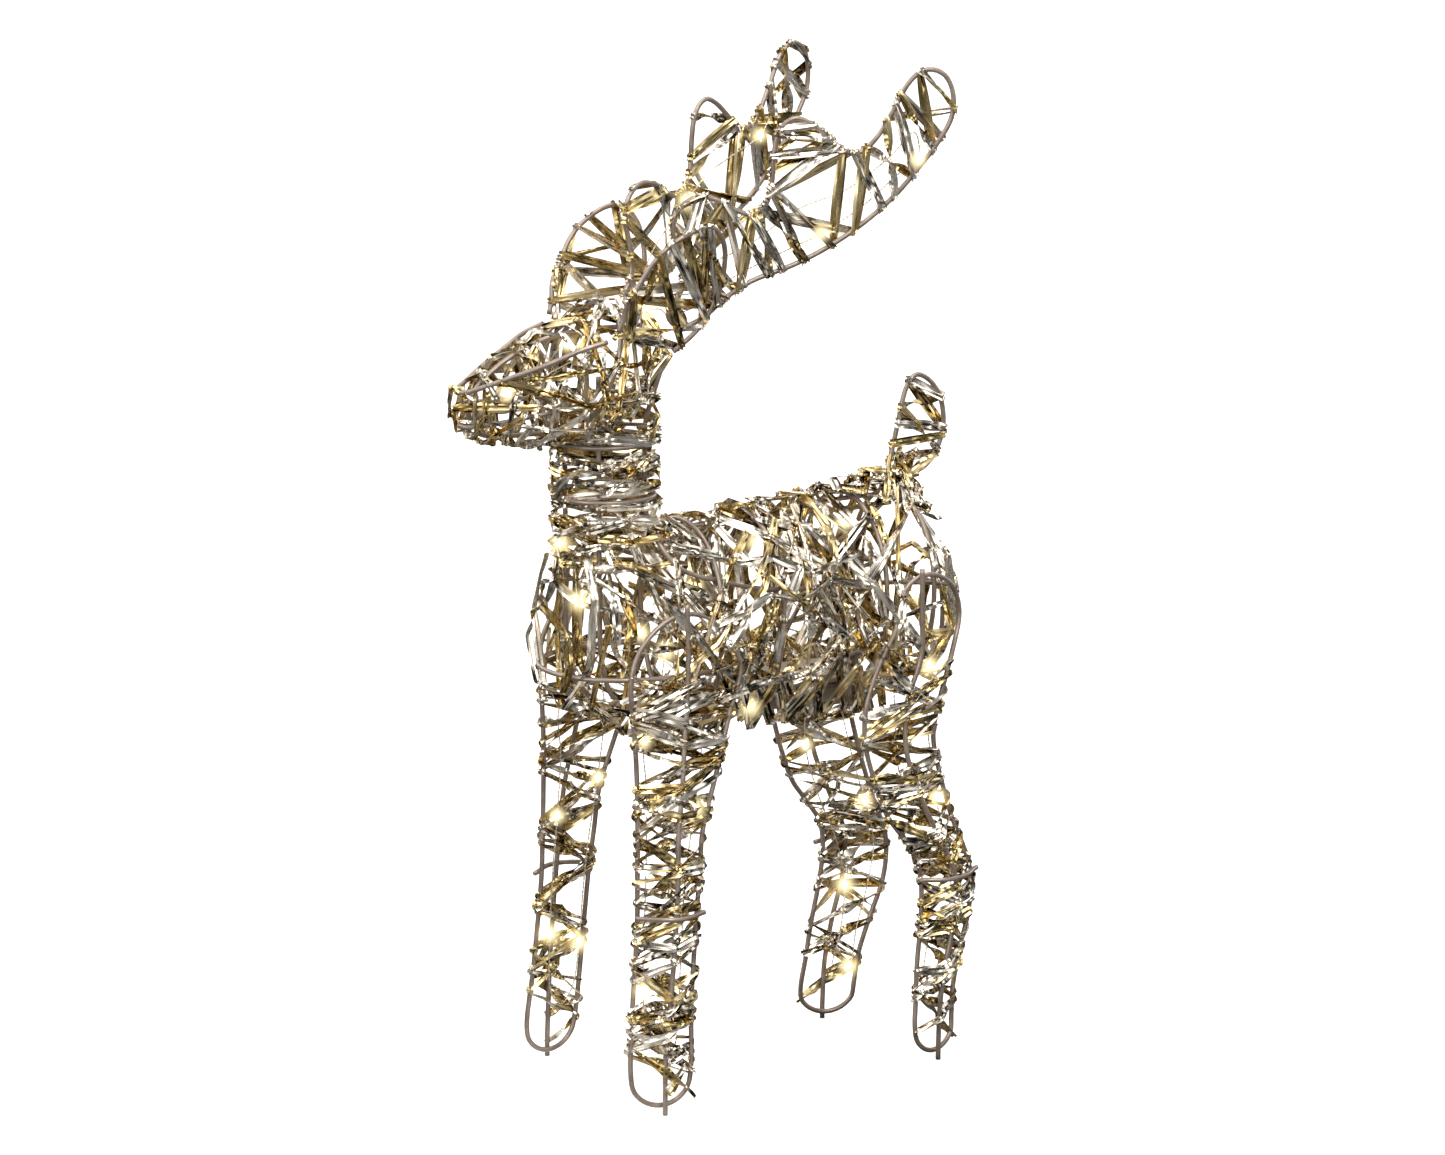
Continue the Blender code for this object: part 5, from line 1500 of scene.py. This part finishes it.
def build_halos(spots, material):
    """A ball of bloom round each bead, seen by the camera only."""
    rings, sides = 13, 20
    rng = np.random.default_rng(5)
    ball = []
    for polar in np.linspace(0.02, math.pi - 0.02, rings):
        for angle in turns(sides):
            flat = math.sin(polar)
            ball.append((flat * math.cos(angle), flat * math.sin(angle), math.cos(polar)))
    ball = np.array(ball)
    i, j = np.arange(rings - 1)[:, None] * sides, np.arange(sides)[None, :]
    k = (j + 1) % sides
    quads = np.stack([i + j, i + sides + j, i + sides + k, i + k], -1).reshape(-1, 4)
    verts, faces = merged([(spot + ball * rng.uniform(8.0, 11.5), quads) for spot in spots])
    data = bpy.data.meshes.new("halos")
    data.from_pydata([tuple(v) for v in world(verts)], [], faces.tolist())
    data.polygons.foreach_set("use_smooth", [True] * len(data.polygons))
    data.materials.append(material)
    halos = new_object("halos", data)
    halos.visible_shadow = False
    halos.visible_glossy = False
    halos.visible_diffuse = False


spots = build_leds(lines)
halo = halo_material()
bead_lamps(spots)
build_halos(spots, halo)


# ---------------------------------------------------------------- floor and world
FLOOR_HALF = 30.0  # metres
FLOOR_DROP = 0.0002


def floor_material():
    """Near-white to the camera, and patchy to other rays so the tape doesn't mirror a blank sheet."""
    material, tree, bsdf = new_material("floor")
    out = tree.nodes["Material Output"]
    mottle(tree, bsdf.inputs["Base Color"], scale=3, detail=2,
           stops=[(0.3, grey(0.80)), (0.7, grey(0.82))])
    set_inputs(bsdf, {"Roughness": 0.8, "Specular IOR Level": 0.1,
                      "Emission Color": (1, 1, 1, 1), "Emission Strength": 0.45})
    mirrored = add(tree, "ShaderNodeEmission", Strength=1.0)
    mottle(tree, mirrored.inputs["Color"], scale=4.5, detail=1.5, stops=[
        (0.42, grey(0.004)), (0.51, (0.10, 0.097, 0.09)), (0.62, (0.85, 0.83, 0.80))])
    upper = camera_mix(tree, elsewhere=mirrored.outputs[0], to_camera=bsdf.outputs[0])
    # clear from below, so that the battery lid can be looked at from under the floor
    under = add(tree, "ShaderNodeNewGeometry")
    clear = add(tree, "ShaderNodeBsdfTransparent")
    both = add(tree, "ShaderNodeMixShader")
    tree.links.new(under.outputs["Backfacing"], both.inputs["Fac"])
    tree.links.new(upper, both.inputs[1])
    tree.links.new(clear.outputs[0], both.inputs[2])
    tree.links.new(both.outputs[0], out.inputs["Surface"])
    return material


def build_floor():
    data = bpy.data.meshes.new("floor")
    corners = [(x * FLOOR_HALF, y * FLOOR_HALF, 0) for x, y in ((-1, -1), (1, -1), (1, 1), (-1, 1))]
    data.from_pydata(corners, [], [(0, 1, 2, 3)])
    data.materials.append(floor_material())
    floor = new_object("floor", data)
    floor.location.z = -FLOOR_DROP


def studio_world():
    """White to the camera; to other rays, large soft panels with darker ground between them."""
    studio = bpy.data.worlds.new("studio")
    bpy.context.scene.world = studio
    studio.use_nodes = True
    tree = studio.node_tree
    tree.nodes.clear()
    out = add(tree, "ShaderNodeOutputWorld")
    seen = add(tree, "ShaderNodeBackground", Color=(1, 1, 1, 1), Strength=1.0)
    lit = add(tree, "ShaderNodeBackground", Strength=1.2)
    coords = add(tree, "ShaderNodeTexCoord").outputs["Generated"]
    cloud = noise(tree, scale=2.6, detail=1.5, rough=0.5, coords=coords)
    split = add(tree, "ShaderNodeSeparateXYZ")
    tree.links.new(coords, split.inputs[0])
    brighter_upwards = 0.10
    lift = maths(tree, "MULTIPLY_ADD", split.outputs["Z"], brighter_upwards, cloud)
    panels = ramp(tree, lift, [
        (0.42, grey(0.006)), (0.48, (0.08, 0.078, 0.073)), (0.53, (0.36, 0.35, 0.335)),
        (0.575, (0.92, 0.91, 0.88)), (0.65, (3.1, 3.05, 2.97))])
    tree.links.new(panels, lit.inputs["Color"])
    mix = camera_mix(tree, elsewhere=lit.outputs[0], to_camera=seen.outputs[0])
    tree.links.new(mix, out.inputs["Surface"])


build_floor()
studio_world()


# ---------------------------------------------------------------- lights and camera, in metres
def pose(x_axis, y_axis, z_axis, place):
    rows = [[x_axis[k], y_axis[k], z_axis[k], place[k]] for k in range(3)]
    return mathutils.Matrix(rows + [[0, 0, 0, 1]])


def soft_box(name, place, size, power):
    """Square area light aimed at the middle of the deer."""
    lamp = bpy.data.lights.new(name, "AREA")
    lamp.shape = "RECTANGLE"
    lamp.size, lamp.size_y = size, size
    lamp.energy = power
    lamp.color = (1, 0.985, 0.96)
    obj = new_object(name, lamp)
    z_axis = unit(np.asarray(place) - np.asarray((0, 0, 0.3)))
    x_axis = unit(np.cross((0, 0, 1), z_axis) if abs(z_axis[2]) < 0.99 else (1, 0, 0))
    obj.matrix_world = pose(x_axis, np.cross(z_axis, x_axis), z_axis, place)


def build_camera(azimuth, elevation, distance, target):
    azimuth, elevation = math.radians(azimuth), math.radians(elevation)
    flat = math.cos(elevation)
    back = np.array([math.sin(azimuth) * flat, -math.cos(azimuth) * flat, math.sin(elevation)])
    right = np.array([math.cos(azimuth), math.sin(azimuth), 0])
    data = bpy.data.cameras.new("camera")
    camera = new_object("camera", data)
    camera.matrix_world = pose(right, np.cross(back, right), back, target + back * distance)
    data.sensor_width = 36.0
    data.lens = 148.376318
    data.shift_x = -0.0141868512
    data.shift_y = -0.0050519031
    data.clip_end = 100
    bpy.context.scene.camera = camera
    bpy.context.scene.view_settings.view_transform = "Standard"


soft_box("key", place=(1.6, -0.4, 2.0), size=0.9, power=15)
soft_box("fill", place=(0.6, -2.4, 1.2), size=0.9, power=6)
soft_box("top", place=(0, 0.1, 2.4), size=1.1, power=12)
build_camera(azimuth=59.27076, elevation=11.82695, distance=3.5, target=world((0, 0, 300)))
